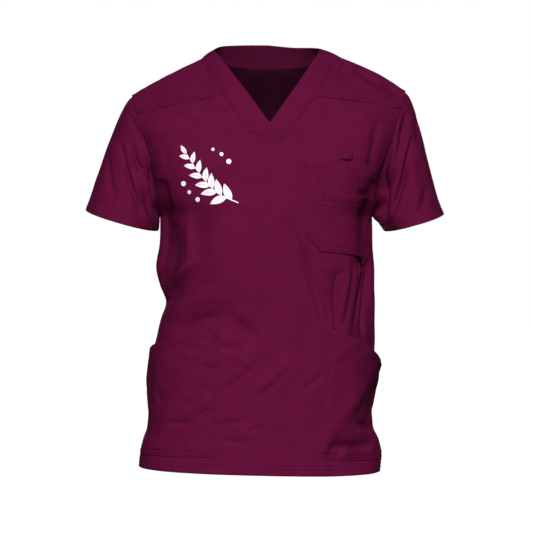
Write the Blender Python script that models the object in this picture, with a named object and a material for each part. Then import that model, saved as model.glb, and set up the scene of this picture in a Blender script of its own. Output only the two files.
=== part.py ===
"""A short-sleeved V-neck scrub top, hollow and filled out as if it were worn.

The tables below are in millimetres and the meshes are in metres. The front of the top
faces -Y and +Z is up. Names with left and right are as the front is looked at, so the
wearer's left arm goes into sleeve_right. The origin is the middle of the neck opening, at
the height of the two highest points of the shoulders.

Each cut piece of cloth is a grid of outer points on a smooth surface, thickened inwards.
"""

import math
from collections import namedtuple

import bmesh
import bpy
import numpy as np

MM = 0.001
WALL = 1.6
SEAM_GAP = 0.3
ARMPIT_GAP = 0.9  # the sleeve's seam is as wide as this at the armpit, where it turns most

CLOTH_COLOUR = "5D0B33"
CLOTH_ROUGHNESS = 0.85
SHARP_ANGLE = 50  # degrees between two faces from which their edge is shaded as a sharp one

# Steps for measuring a surface's slope and for finding a place on it.
NEARBY_U, NEARBY_T = 0.004, 1.0
FIND_STEPS = 160

# Rim points of two pieces belong to one seam if they are this near and face one way.
SEAM_REACH = 1.0
SEAM_LEAST_COSINE = 0.6

# How many quads each stretch of cloth has.
BODY_ROWS = 25
CHEST_ROWS = 7
COLLAR_ROWS = 5
YOKE_ROWS = 5
BACK_LOWER_ROWS = 8
BACK_NECK_ROWS = 6
COLUMNS = 16
SLEEVE_ROWS = 10
BAND_ROWS = 3

# The V neck's square base runs between the two halves of the front, on one level.
BASE_LEVEL = -164
ARMPIT_LEVEL = -284
HEM_LEVEL = -710

# Level sections of the body tube: how far it reaches to each side, to the front and to the
# back, and how full its corners are (0.55 is an ellipse and 1 is a box).
Section = namedtuple("Section", "z left right front back fullness")
SECTIONS = (
    Section(HEM_LEVEL, 221, 188, 119, 107, 0.64),
    Section(-690, 219, 190, 118, 106, 0.64),
    Section(-664, 212, 185, 116, 105, 0.64),
    Section(-644, 205, 176, 115, 104, 0.64),
    Section(-622, 203, 172.5, 115, 103, 0.63),
    Section(-598, 204, 173.5, 114, 103, 0.63),
    Section(-560, 205, 176, 113, 101, 0.62),
    Section(-524, 200, 178, 112, 99, 0.62),
    Section(-483, 190, 180, 112, 96, 0.62),
    Section(-452, 182, 180, 113, 94, 0.62),
    Section(-430, 175, 180, 114, 93, 0.62),
    Section(-400, 185, 179, 115, 94, 0.62),
    Section(-371, 192, 179, 116, 96, 0.62),
    Section(-330, 186, 176, 117, 100, 0.62),
    Section(ARMPIT_LEVEL, 185, 175, 117, 105, 0.62),
)

# Sections of each upper half, from the neck seam to the armhole seam. x counts away from the
# middle. start and turn are the plan angles, in degrees, at which the cloth leaves the neck
# seam and meets the armhole seam, 0 running sideways and 90 running straight back.
Edge = namedtuple("Edge", "neck_x neck_y neck_z arm_x arm_y arm_z start turn")
FRONT_EDGES = {
    -1: (
        Edge(12.5, -117, -262, 187, -34, -262, 0, 84),
        Edge(12.5, -114, -225, 190, -52, -225, 0, 76),
        Edge(12.5, -110, -192, 196, -57, -192, 0, 66),
        Edge(12.5, -104, BASE_LEVEL, 204, -56, BASE_LEVEL, 0, 58),
        Edge(37.5, -101, -137, 212, -52, -141, 4, 50),
        Edge(60.5, -91, -104, 218, -45, -123, 8, 44),
        Edge(74, -78, -82, 222, -37, -111, 10, 38),
        Edge(88.7, -58, -60, 226.5, -24, -97, 10, 28),
        Edge(102, -28, -33, 230.5, -8, -84, 6, 14),
        Edge(115, 2, -15, 233, 8, -76, 2, 4),
    ),
    1: (
        Edge(18.5, -117, -262, 177, -34, -262, 0, 84),
        Edge(18.5, -114, -225, 180, -52, -225, 0, 76),
        Edge(18.5, -110, -192, 190, -57, -192, 0, 66),
        Edge(18.5, -104, BASE_LEVEL, 200.5, -56, BASE_LEVEL, 0, 58),
        Edge(41, -99, -133, 209, -52, -139, 4, 50),
        Edge(62, -90, -103, 216, -44, -117, 8, 44),
        Edge(76, -78, -84, 221, -35, -102, 10, 38),
        Edge(92, -56, -59, 225.5, -22, -89, 10, 28),
        Edge(108, -25, -33, 229.5, -8, -77, 6, 14),
        Edge(121, 2, -12, 232, 8, -69, 2, 4),
    ),
}
LEVEL_EDGES = 4  # how many of a side's edges are level, up to the V's base
YOKE_SEAM = 6  # its row among a side's edges
BACK_EDGES = {
    -1: (
        Edge(0, 108, -240, 190, 48, -250, 0, 80),
        Edge(0, 107, -170, 202, 68, -200, 0, 66),
        Edge(0, 92, -85, 212, 69, -165, 0, 50),
        Edge(0, 66, -26, 219, 59, -135, 0, 38),
        Edge(40, 61, -25, 225, 47, -113, 4, 28),
        Edge(83, 40, -20, 229, 33, -95, 6, 18),
        Edge(107, 17, -16, 232, 18, -82, 4, 8),
        Edge(115, 2, -15, 233, 8, -76, 2, 4),
    ),
    1: (
        Edge(0, 108, -240, 180, 48, -250, 0, 80),
        Edge(0, 107, -170, 195, 68, -200, 0, 66),
        Edge(0, 92, -85, 208, 69, -162, 0, 50),
        Edge(0, 66, -26, 216, 59, -130, 0, 38),
        Edge(42, 61, -25, 223, 47, -107, 4, 28),
        Edge(87, 40, -20, 228, 33, -88, 6, 18),
        Edge(113, 17, -14, 231, 18, -75, 4, 8),
        Edge(121, 2, -12, 232, 8, -69, 2, 4),
    ),
}
BACK_NECK = 3  # the row where the back neck seam leaves the middle
LEAD, TRAIL = 0.48, 0.34  # how far an upper section keeps its end directions, of its length
RIDGE_ARCH = {-1: 3, 1: 7}  # how far the shoulder seam rises above a straight line
NEXT_ARCH = 0.6  # the share of that rise which the section next to the seam has
RIDGE_LEAN = 0.1  # how steeply the cloth still climbs where it meets the shoulder seam

# The hem rises a little towards the left: how much, and how high up the body it fades out.
HEM_TILT = 0.02
HEM_TILT_HEIGHT = 120

# The neckband's free edge, from the point of the V over the shoulder to the middle back.
BandEdge = namedtuple("BandEdge", "x y z")
BAND_FRONT = {
    -1: (
        BandEdge(0.5, -99, -130),
        BandEdge(33, -85, -84),
        BandEdge(58, -65, -50),
        BandEdge(76, -41, -25),
        BandEdge(88, -16, -8),
        BandEdge(95, 3, 0),
    ),
    1: (
        BandEdge(2.5, -99, -130),
        BandEdge(33, -85, -86),
        BandEdge(55, -65, -53),
        BandEdge(71, -41, -28),
        BandEdge(82, -16, -9),
        BandEdge(88, 3, 2),
    ),
}
BAND_BACK = {
    -1: (BandEdge(95, 3, 0), BandEdge(84, 31, 9), BandEdge(47, 53, 14), BandEdge(2, 60, 15)),
    1: (BandEdge(88, 3, 2), BandEdge(77, 31, 7), BandEdge(43, 53, 10), BandEdge(-2, 60, 15)),
}
BAND_CROWN = 1.0

# A sleeve's cuff is an ellipse: its outer and inner points as seen from the front, how deep
# it is from front to back, and the pull of the cloth where it leaves the armhole and the cuff.
Cuff = namedtuple(
    "Cuff", "outer_x outer_z inner_x inner_z half_depth middle_y leave arrive flare"
)
CUFFS = {
    -1: Cuff(311, -271, 193, -303, 75, 2, 0.36, 0.7, 0.06),
    1: Cuff(297, -277, 197, -302, 82, 2, 0.36, 0.6, 0.25),
}
CUFF_SAG = 8  # how much lower the cuff hangs at its front and back
SHOULDER_SLOPE = 0.55  # how steeply the sleeve leaves the shoulder
ARMPIT_SPREAD = 0.9  # how far sideways it leaves the armpit, for each step down

# The largest folds: troughs (rise below 0) and ridges, from one end to the other. across is
# the distance along the cloth from the middle of the front, and width is half the fold's own.
Fold = namedtuple("Fold", "across_1 z_1 across_2 z_2 width rise")
FOLD_END = 0.6  # the power with which a fold runs out at its ends; under 1 is blunt
SEAM_U = 0.12  # folds fade out over this share of a section before its side or armhole seam
FRONT_FOLDS = (
    Fold(-176, -296, -184, -416, 24, -8),
    Fold(-143, -300, -125, -356, 13, 3.5),
    Fold(-125, -348, -212, -426, 15, 5),
    Fold(-77, -428, -14, -500, 18, -3),
    Fold(-158, -484, -86, -456, 13, -4),
    Fold(31, -296, 98, -464, 12, -2.5),
    Fold(109, -376, 105, -468, 12, -4),
    Fold(151, -368, 118, -464, 12, 4),
    Fold(207, -350, 146, -490, 14, -9),
    Fold(-30, -585, 50, -535, 14, 2.5),
)
BACK_FOLDS = (
    Fold(-196, -310, -150, -400, 18, -6),
    Fold(-120, -440, 60, -465, 16, -5),
    Fold(-60, -400, 130, -425, 14, 3),
    Fold(200, -330, 140, -420, 16, -6),
    Fold(-170, -150, -110, -250, 16, -4),
    Fold(165, -160, 115, -260, 14, -4),
    Fold(-90, -520, -110, -700, 22, 4),
    Fold(110, -530, 125, -700, 24, 4),
)
SLEEVE_FOLDS = {
    # Here across is the angle round the sleeve in degrees, from its top towards the front,
    # z is the share of the way from the armhole to the cuff, and width is a share too.
    -1: (Fold(95, 0.1, 60, 0.8, 0.09, -4), Fold(125, 0.25, 105, 0.95, 0.08, -3)),
    1: (Fold(100, 0.05, 70, 0.7, 0.09, -5), Fold(40, 0.3, 55, 0.95, 0.09, -3)),
}
SLEEVE_TURN = 180  # degrees that count as the sleeve's own length

# A pocket is a patch over one half of the front: its inner and outer edges' distances from
# the middle at the top and the bottom (None follows the side seam), the heights of its
# opening and its bottom at the inner and the outer edge, how far the opening stands off the
# cloth in its middle and at its outer end, and over which share of its height that fades.
Pocket = namedtuple(
    "Pocket", "in_top in_low out_top out_low open_in open_out low_in low_out gape tip fade"
)
HIP_POCKETS = {
    -1: Pocket(82, 94, None, None, -469, -512, -681, -686, 8, 2, 0.5),
    1: Pocket(101, 72, None, None, -470, -535, -682, -691, 11, 11, 0.5),
}
CHEST_POCKET = Pocket(59, 58, 178, 162, -193, -206, -340, -352, 2.5, 0, 0.4)
CHEST_FRONT_OPENING = (-247, -255)  # its heights at the pocket's inner and outer edge
CHEST_FRONT_GAPE = 3
CHAMFER = 26  # the cut-off lower inner corner of the chest pocket, sideways and upwards
POCKET_COLUMNS, POCKET_ROWS = 11, 10
CHEST_FRONT_ROWS = 7
SIDE_STOP = 0.995  # how near to the side seam, as u, a hip pocket ends
POCKET_LIFT = 0.8  # from the cloth that a pocket is sewn to
GAPE_POWER = 0.7  # how bluntly an opening's gape closes at its two ends
TIP_POWER = 6  # how near to its outer end a pocket's opening stands off most

# The loop above the chest pocket is a short tape, sewn down at both ends.
LOOP_INNER, LOOP_OUTER = 117, 137
LOOP_TOP, LOOP_BOTTOM = -182, -190
LOOP_RISE = 3.0
LOOP_COLUMNS, LOOP_ROWS = 8, 2


def colour_values(code):
    """Turns a hex sRGB colour into linear red, green, blue and alpha."""
    parts = [int(code[i : i + 2], 16) / 255 for i in (0, 2, 4)]
    linear = [c / 12.92 if c <= 0.04045 else ((c + 0.055) / 1.055) ** 2.4 for c in parts]
    return (*linear, 1.0)


def unit(vectors):
    """Scales vectors to a length of one."""
    return vectors / np.maximum(np.linalg.norm(vectors, axis=-1, keepdims=True), 1e-9)


def along(points, fractions):
    """Points at the given fractions of the length of a smooth line through a few points."""
    points = np.array(points, float)
    steps = np.linalg.norm(np.diff(points, axis=0), axis=1)
    knots = np.concatenate(([0.0], np.cumsum(steps)))
    slopes = np.gradient(points, knots, axis=0)
    where = np.asarray(fractions) * knots[-1]
    row = np.clip(np.searchsorted(knots, where, side="right") - 1, 0, len(knots) - 2)
    step = (knots[row + 1] - knots[row])[:, None]
    part = (where - knots[row])[:, None] / step
    start, end = points[row], points[row + 1]
    return hermite(part, start, step * slopes[row], end, step * slopes[row + 1])


def hermite(part, start, start_pull, end, end_pull):
    """A cubic from start to end, with the given pull at each of them."""
    square, cube = part**2, part**3
    return (
        (2 * cube - 3 * square + 1) * start
        + (cube - 2 * square + part) * start_pull
        + (3 * square - 2 * cube) * end
        + (cube - square) * end_pull
    )


def bezier(net, u):
    """A cubic Bezier curve's points. net is (..., 4, 3) and u has a value for each curve."""
    u = np.asarray(u)[..., None]
    v = 1 - u
    weights = (v**3, 3 * v**2 * u, 3 * v * u**2, u**3)
    return sum(w * net[..., i, :] for i, w in enumerate(weights))


def fold_relief(folds, across, z, scale=1):
    """How far the folds raise (or, below 0, sink) the cloth at each place."""
    relief = np.zeros(np.broadcast(across, z).shape)
    for fold in folds:
        start = np.array((fold.across_1, fold.z_1 * scale))
        run = np.array((fold.across_2, fold.z_2 * scale)) - start
        length = np.linalg.norm(run)
        share = ((across - start[0]) * run[0] + (z * scale - start[1]) * run[1]) / length**2
        share = np.clip(share, 0, 1)
        off = np.hypot(
            across - start[0] - share * run[0], z * scale - start[1] - share * run[1]
        )
        flank = np.exp(-((off / (fold.width * scale)) ** 2))
        relief += fold.rise * flank * np.sin(math.pi * share) ** FOLD_END
    return relief


class Half:
    """Half of a front or a back: a smooth surface through its sections, from the hem up.

    u runs from the middle or the neck seam (0) to the side or the armhole seam (1), and t is
    the distance from the hem, in millimetres, up the half's own middle.
    """

    def __init__(self, nets, level_rows, corners, top_pull):
        self.nets = np.array(nets, float)
        middle = bezier(self.nets, np.full(len(nets), 0.5))
        steps = np.linalg.norm(np.diff(middle, axis=0), axis=1)
        steps[: level_rows - 1] = np.diff(middle[:level_rows, 2])
        self.knots = np.concatenate(([0.0], np.cumsum(steps)))
        step = steps[:, None, None]
        slope = np.diff(self.nets, axis=0) / step
        inner = (slope[:-1] * step[1:] + slope[1:] * step[:-1]) / (step[:-1] + step[1:])
        self.arrive = np.concatenate((slope[:1], inner, slope[-1:]))
        self.arrive[-1] = top_pull
        self.leave = self.arrive.copy()
        for row, point in corners:
            self.arrive[row, point] = slope[row - 1, point]
            self.leave[row, point] = slope[row, point]

    def points(self, u, t):
        """The surface's points at equal-sized arrays of u and t."""
        u, t = np.broadcast_arrays(np.asarray(u, float), np.asarray(t, float))
        row = np.clip(np.searchsorted(self.knots, t, side="right") - 1, 0, len(self.knots) - 2)
        step = (self.knots[row + 1] - self.knots[row])[..., None, None]
        part = (t - self.knots[row])[..., None, None] / step
        net = hermite(
            part,
            self.nets[row],
            step * self.leave[row],
            self.nets[row + 1],
            step * self.arrive[row + 1],
        )
        found = bezier(net, u)
        fade = np.clip(1 - t / HEM_TILT_HEIGHT, 0, 1) ** 2
        found[..., 2] -= HEM_TILT * fade * found[..., 0]
        return found

    def outward(self, u, t):
        """Directions square to the surface, on its outer side."""
        u, t = np.broadcast_arrays(np.asarray(u, float), np.asarray(t, float))
        u = np.clip(u, NEARBY_U, 1 - NEARBY_U)
        t = np.clip(t, NEARBY_T, self.knots[-1] - NEARBY_T)
        across = self.points(u + NEARBY_U, t) - self.points(u - NEARBY_U, t)
        up = self.points(u, t + NEARBY_T) - self.points(u, t - NEARBY_T)
        turn = math.copysign(1, self.nets[0, 3, 0]) * math.copysign(1, -self.nets[0, 0, 1])
        return turn * unit(np.cross(across, up))

    def find_u(self, x, t):
        """Where along their sections, at t, the surface reaches the distances x sideways."""
        steps = np.linspace(0, 1, FIND_STEPS)
        reach = np.abs(self.points(*np.meshgrid(steps, t))[..., 0])
        return np.array([np.interp(value, row, steps) for value, row in zip(x, reach)])


def level_net(side, section, depth, start):
    """A level section's control points, from beside the middle to the side seam."""
    reach = section.left if side < 0 else section.right
    lead = start + section.fullness * (reach - start)
    trail = section.fullness * depth
    places = ((start, depth), (lead, depth), (reach, trail), (reach, 0))
    return [(side * x, y, section.z) for x, y in places]


def edge_net(side, edge):
    """An upper section's control points, from the neck seam to the armhole seam."""
    start = np.array((edge.neck_x, edge.neck_y, edge.neck_z))
    end = np.array((edge.arm_x, edge.arm_y, edge.arm_z))
    length = np.linalg.norm((end - start)[:2])
    back = math.copysign(1, end[1] - start[1])
    slope = (end[2] - start[2]) / length
    first, last = math.radians(edge.start), math.radians(edge.turn)
    lead = np.array((math.cos(first), back * math.sin(first), slope)) * LEAD * length
    trail = np.array((math.cos(last), back * math.sin(last), slope)) * TRAIL * length
    net = np.array((start, start + lead, end - trail, end))
    net[:, 0] *= side
    return net


def edge_nets(side, edges):
    """The control points of a half's upper sections, arched towards the shoulder seam."""
    nets = [edge_net(side, e) for e in edges]
    nets[-1][1:3, 2] += RIDGE_ARCH[side]
    nets[-2][1:3, 2] += NEXT_ARCH * RIDGE_ARCH[side]
    return nets


def front_half(side):
    """The smooth surface of one half of the front and its yoke."""
    edges = FRONT_EDGES[side]
    nets = [level_net(side, s, -s.front, edges[0].neck_x) for s in SECTIONS]
    nets += edge_nets(side, edges)
    body = len(SECTIONS)
    corners = ((body - 1, 3), (body + LEVEL_EDGES - 1, 0))
    return Half(nets, body + LEVEL_EDGES, corners, (0, 1, RIDGE_LEAN))


def back_half(side):
    """The smooth surface of one half of the back."""
    nets = [level_net(side, s, s.back, 0) for s in SECTIONS]
    nets += edge_nets(side, BACK_EDGES[side])
    body = len(SECTIONS)
    corners = ((body - 1, 3), (body + BACK_NECK, 0))
    return Half(nets, body, corners, (0, -1, RIDGE_LEAN))


class Cloth:
    """One cut piece: its outer points, the quads between them and its outward directions."""

    def __init__(self, name, points, quads, normals=None):
        self.name = name
        self.points = np.array(points, float).reshape(-1, 3)
        self.quads = quads
        self.normals = self.own_normals() if normals is None else normals.reshape(-1, 3)

    def own_normals(self):
        """Each point's direction, the mean of its quads' directions."""
        found = np.zeros_like(self.points)
        for quad in self.quads:
            a, b, c, d = (self.points[i] for i in quad)
            found[list(quad)] += np.cross(c - a, d - b)
        return unit(found)

    def rim(self):
        """The edges that only one quad has, in that quad's direction."""
        edges = {}
        for quad in self.quads:
            for a, b in zip(quad, quad[1:] + quad[:1]):
                edges[(a, b)] = True
        return [(a, b) for a, b in edges if (b, a) not in edges]

    def solid(self, wall):
        """The mesh of the piece, as thick as the cloth and closed round its rim."""
        count = len(self.points)
        inner = self.points - wall * self.normals
        faces = [tuple(q) for q in self.quads]
        faces += [tuple(i + count for i in reversed(q)) for q in self.quads]
        faces += [(b, a, a + count, b + count) for a, b in self.rim()]
        mesh = bpy.data.meshes.new(self.name)
        mesh.from_pydata((np.concatenate((self.points, inner)) * MM).tolist(), [], faces)
        mesh.update()
        return mesh


def grid_quads(ids):
    """The quads between the rows and columns of a grid of point numbers."""
    ids = np.asarray(ids)
    corners = (ids[:-1, :-1], ids[:-1, 1:], ids[1:, 1:], ids[1:, :-1])
    return [tuple(int(c) for c in quad) for quad in zip(*(c.ravel() for c in corners))]


def point_ids(grid):
    """The numbers of a grid's points, row by row."""
    return np.arange(grid.shape[0] * grid.shape[1]).reshape(grid.shape[:2])


def closed_ids(grid):
    """Point numbers of a grid whose last column meets its first again."""
    ids = point_ids(grid)
    return np.concatenate((ids, ids[:, :1]), axis=1)


def flipped(quads):
    """The same quads, seen from their other side."""
    return [tuple(reversed(q)) for q in quads]


def pull_in(grid, axis, end, gap):
    """Moves the first (0) or last (-1) row or column of a grid a gap towards its neighbour."""
    edge = [slice(None)] * 3
    edge[axis] = end
    near = list(edge)
    near[axis] = 1 if end == 0 else -2
    edge, near = tuple(edge), tuple(near)
    grid[edge] += gap * unit(grid[near] - grid[edge])


def body_levels():
    """The distances t of a front's or a back's rows, from the hem to the armpit."""
    return np.linspace(0, ARMPIT_LEVEL - HEM_LEVEL, BODY_ROWS + 1)


def chest_levels():
    """The distances t of the front's rows, from the armpit to the neck's square base."""
    return np.linspace(ARMPIT_LEVEL - HEM_LEVEL, BASE_LEVEL - HEM_LEVEL, CHEST_ROWS + 1)


def collar_levels(half):
    """The distances t of the front's rows beside the V neck, up to the yoke seam."""
    seam = half.knots[len(SECTIONS) + YOKE_SEAM]
    return np.linspace(BASE_LEVEL - HEM_LEVEL, seam, COLLAR_ROWS + 1)


def yoke_levels(half):
    """The distances t of a yoke's rows, up to the shoulder seam."""
    return np.linspace(half.knots[len(SECTIONS) + YOKE_SEAM], half.knots[-1], YOKE_ROWS + 1)


def back_lower_levels(half):
    """The distances t of the back's rows, from the armpit to the middle of the back neck."""
    neck = half.knots[len(SECTIONS) + BACK_NECK]
    return np.linspace(ARMPIT_LEVEL - HEM_LEVEL, neck, BACK_LOWER_ROWS + 1)


def back_neck_levels(half):
    """The distances t of the back's rows beside the back neck, up to the shoulder seam."""
    neck = half.knots[len(SECTIONS) + BACK_NECK]
    return np.linspace(neck, half.knots[-1], BACK_NECK_ROWS + 1)


def half_grid(half, levels, folds=()):
    """A grid of points on a half's surface, a row for each level, and their directions."""
    t, u = np.meshgrid(np.concatenate(levels), np.linspace(0, 1, COLUMNS + 1), indexing="ij")
    grid, outward = half.points(u, t), half.outward(u, t)
    lengths = np.linalg.norm(np.diff(grid, axis=1), axis=2).cumsum(axis=1)
    side = math.copysign(1, half.nets[0, 3, 0])
    across = grid[:, :1, 0] + side * np.pad(lengths, ((0, 0), (1, 0)))
    seam = np.minimum(1, (1 - u) / SEAM_U)
    grid += (fold_relief(folds, across, grid[..., 2]) * seam)[..., None] * outward
    return grid, outward


def make_front(halves):
    """The body front: two halves, joined by a strip below the neck's square base."""
    points, normals, quads, number = [], [], [], 0
    starts = {}
    for side in (-1, 1):
        half = halves[side]
        levels = (body_levels(), chest_levels()[1:], collar_levels(half)[1:])
        grid, outward = half_grid(half, levels, FRONT_FOLDS)
        ids = number + point_ids(grid)
        number += ids.size
        points.append(grid.reshape(-1, 3))
        normals.append(outward.reshape(-1, 3))
        made = grid_quads(ids)
        quads += flipped(made) if side < 0 else made
        starts[side] = ids[:, 0]
    count = BODY_ROWS + CHEST_ROWS + 1
    strip = np.stack((starts[-1][:count], starts[1][:count]), axis=1)
    quads += grid_quads(strip)
    return Cloth("front", np.concatenate(points), quads, np.concatenate(normals))


def make_yoke(name, side, half):
    """A front yoke, from the yoke seam to the shoulder seam."""
    grid, outward = half_grid(half, (yoke_levels(half),))
    pull_in(grid, 0, 0, SEAM_GAP)
    pull_in(grid, 0, -1, SEAM_GAP)
    quads = grid_quads(point_ids(grid))
    return Cloth(name, grid, flipped(quads) if side < 0 else quads, outward)


def make_back(halves):
    """The back: two halves that share their middle line up to the neck."""
    grids, outward, ids = {}, {}, {}
    for side in (-1, 1):
        half = halves[side]
        levels = (body_levels(), back_lower_levels(half)[1:], back_neck_levels(half)[1:])
        grids[side], outward[side] = half_grid(half, levels, BACK_FOLDS)
        pull_in(grids[side][: BODY_ROWS + 1], 1, -1, SEAM_GAP)
        ids[side] = point_ids(grids[side])
    rows, columns = ids[1].shape
    below_neck = rows - BACK_NECK_ROWS
    kept = np.ones((rows, columns), bool)
    kept[:below_neck, 0] = False
    right = np.zeros((rows, columns), int)
    right[kept] = ids[-1].size + np.arange(kept.sum())
    right[:below_neck, 0] = ids[-1][:below_neck, 0]
    points = np.concatenate((grids[-1].reshape(-1, 3), grids[1][kept]))
    normals = np.concatenate((outward[-1].reshape(-1, 3), outward[1][kept]))
    return Cloth("back", points, grid_quads(ids[-1]) + flipped(grid_quads(right)), normals)


def armhole(front, back):
    """The armhole seam's points: down the front to the armpit, and up the back."""
    front_t = np.concatenate((chest_levels()[:-1], collar_levels(front)[:-1], yoke_levels(front)))
    back_t = np.concatenate((back_lower_levels(back)[1:], back_neck_levels(back)[1:-1]))
    down = front.points(np.ones(len(front_t)), front_t)[::-1]
    up = back.points(np.ones(len(back_t)), back_t)
    return down, up


def round_angles(line, start, end):
    """Angles from start to end, shared out by the distance along a line of points."""
    steps = np.concatenate(([0.0], np.cumsum(np.linalg.norm(np.diff(line, axis=0), axis=1))))
    return start + (end - start) * steps / steps[-1]


def make_sleeve(name, side, front, back):
    """A short sleeve: a tube from the armhole seam to the cuff."""
    down, up = armhole(front, back)
    cuff = CUFFS[side]
    angles = round_angles(down, 0, math.pi)
    returned = round_angles(np.concatenate((down[-1:], up, down[:1])), math.pi, 2 * math.pi)
    angles = np.concatenate((angles, returned[1:-1]))[:, None]
    ring = np.concatenate((down, up))
    outer = np.array((side * cuff.outer_x, cuff.middle_y, cuff.outer_z))
    inner = np.array((side * cuff.inner_x, cuff.middle_y, cuff.inner_z))
    centre, reach = (outer + inner) / 2, (outer - inner) / 2
    forward = np.array((0, -cuff.half_depth, 0))
    end = centre + np.cos(angles) * reach + np.sin(angles) * forward
    end[:, 2:] -= CUFF_SAG * np.abs(np.sin(angles))
    top = (1 + np.cos(angles)) / 2
    from_top = np.array((side, 0, -SHOULDER_SLOPE))
    from_armpit = np.array((side * ARMPIT_SPREAD, 0, -1))
    leave = unit(top * from_top + (1 - top) * from_armpit)
    away = unit(top * leave + (1 - top) * np.array((side, 0, 0)))
    axis = unit(np.array((-side * reach[2], 0, side * reach[0])))
    axis = axis * -math.copysign(1, axis[2]) + np.array((side * cuff.flare, 0, 0))
    ring = ring + (ARMPIT_GAP + (SEAM_GAP - ARMPIT_GAP) * top) * away
    length = np.linalg.norm(end - ring, axis=1, keepdims=True)
    start_pull, end_pull = cuff.leave * length * leave, cuff.arrive * length * axis
    parts = np.linspace(0, 1, SLEEVE_ROWS + 1)[:, None, None]
    grid = hermite(parts, ring, start_pull, end, end_pull)
    quads = grid_quads(closed_ids(grid))
    cloth = Cloth(name, grid, quads if side < 0 else flipped(quads))
    share = np.broadcast_to(parts[..., 0], grid.shape[:2])
    relief = fold_relief(SLEEVE_FOLDS[side], np.degrees(angles[:, 0]), share, SLEEVE_TURN)
    relief = relief * np.sin(math.pi * share)
    cloth.points += (relief[..., None] * cloth.normals.reshape(grid.shape)).reshape(-1, 3)
    around = np.roll(ring, -1, axis=0) - np.roll(ring, 1, axis=0)
    cloth.normals[: len(ring)] = side * unit(np.cross(around, leave))
    return cloth


def neck_ring(fronts, backs):
    """The neck seam and the band's free edge, once round from the left of the V's base."""
    seam, free = [], []
    for side in (-1, 1):
        half = fronts[side]
        t = np.concatenate((collar_levels(half)[:-1], yoke_levels(half)))
        line = half.points(np.zeros(len(t)), t)
        share = round_angles(line, 0, 1)
        edge = along([(side * b.x, b.y, b.z) for b in BAND_FRONT[side]], share)
        back = backs[side]
        t = back_neck_levels(back)[::-1]
        back_line = back.points(np.zeros(len(t)), t)
        share = round_angles(back_line, 0, 1)
        free_back = along([(side * b.x, b.y, b.z) for b in BAND_BACK[side]], share)
        seam.append(np.concatenate((line, back_line[1:])))
        free.append(np.concatenate((edge, free_back[1:])))
    ring = np.concatenate((seam[0], seam[1][-2::-1]))
    edge = np.concatenate((free[0], free[1][-2::-1]))
    return ring, edge


def make_neckband(fronts, backs):
    """The neckband: a strip from the neck seam to the V's free edge, all the way round."""
    seam, free = neck_ring(fronts, backs)
    seam = seam + SEAM_GAP * unit(free - seam)
    parts = np.linspace(0, 1, BAND_ROWS + 1)[:, None, None]
    grid = seam + parts * (free - seam)
    cloth = Cloth("neckband", grid, grid_quads(closed_ids(grid)))
    crown = BAND_CROWN * np.sin(math.pi * parts) * np.ones(grid.shape[:2])[..., None]
    cloth.points += (crown * cloth.normals.reshape(grid.shape)).reshape(-1, 3)
    return cloth


def pocket_place(pocket, half, rise, chamfer=0):
    """Where a pocket's grid lies on a half, as u and t. rise goes from its bottom, 0, to 1."""
    shares = np.linspace(0, 1, POCKET_COLUMNS + 1)
    opening = pocket.open_in + (pocket.open_out - pocket.open_in) * shares
    bottom = pocket.low_in + (pocket.low_out - pocket.low_in) * shares
    if chamfer:
        bottom += np.maximum(0, chamfer - shares * (pocket.out_low - pocket.in_low))
    t = bottom + rise * (opening - bottom) - HEM_LEVEL
    inner = pocket.in_low + (pocket.in_top - pocket.in_low) * rise
    u_inner = half.find_u(inner.ravel(), t.ravel()).reshape(t.shape)
    u_outer = np.full(t.shape, SIDE_STOP)
    if pocket.out_top is not None:
        outer = pocket.out_low + (pocket.out_top - pocket.out_low) * rise
        u_outer = half.find_u(outer.ravel(), t.ravel()).reshape(t.shape)
    return u_inner + (u_outer - u_inner) * shares, t


def patch(name, half, u, t, lift):
    """A piece that lies on a half of the front, lifted off it along its own directions."""
    outward = half.outward(u, t)
    grid = half.points(u, t) + np.broadcast_to(lift, t.shape)[..., None] * outward
    quads = grid_quads(point_ids(grid))
    return Cloth(name, grid, flipped(quads) if grid[0, 0, 0] < 0 else quads, outward)


def stand_off(rise, fade, gape, tip):
    """How far a pocket's cloth stands off, most at its opening and not at its seams."""
    shares = np.linspace(0, 1, POCKET_COLUMNS + 1)
    near_top = np.clip(1 - (1 - rise) / fade, 0, 1)
    middle = gape * np.sin(math.pi * shares) ** GAPE_POWER * near_top**2
    return middle + tip * near_top * shares**TIP_POWER


def make_hip_pocket(name, side, half):
    """A hip pocket, from its slanted opening down, sewn in at the side seam."""
    pocket = HIP_POCKETS[side]
    rise = np.linspace(0, 1, POCKET_ROWS + 1)[:, None] * np.ones(POCKET_COLUMNS + 1)
    u, t = pocket_place(pocket, half, rise)
    lift = POCKET_LIFT + WALL + stand_off(rise, pocket.fade, pocket.gape, pocket.tip)
    return patch(name, half, u, t, lift)


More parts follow.
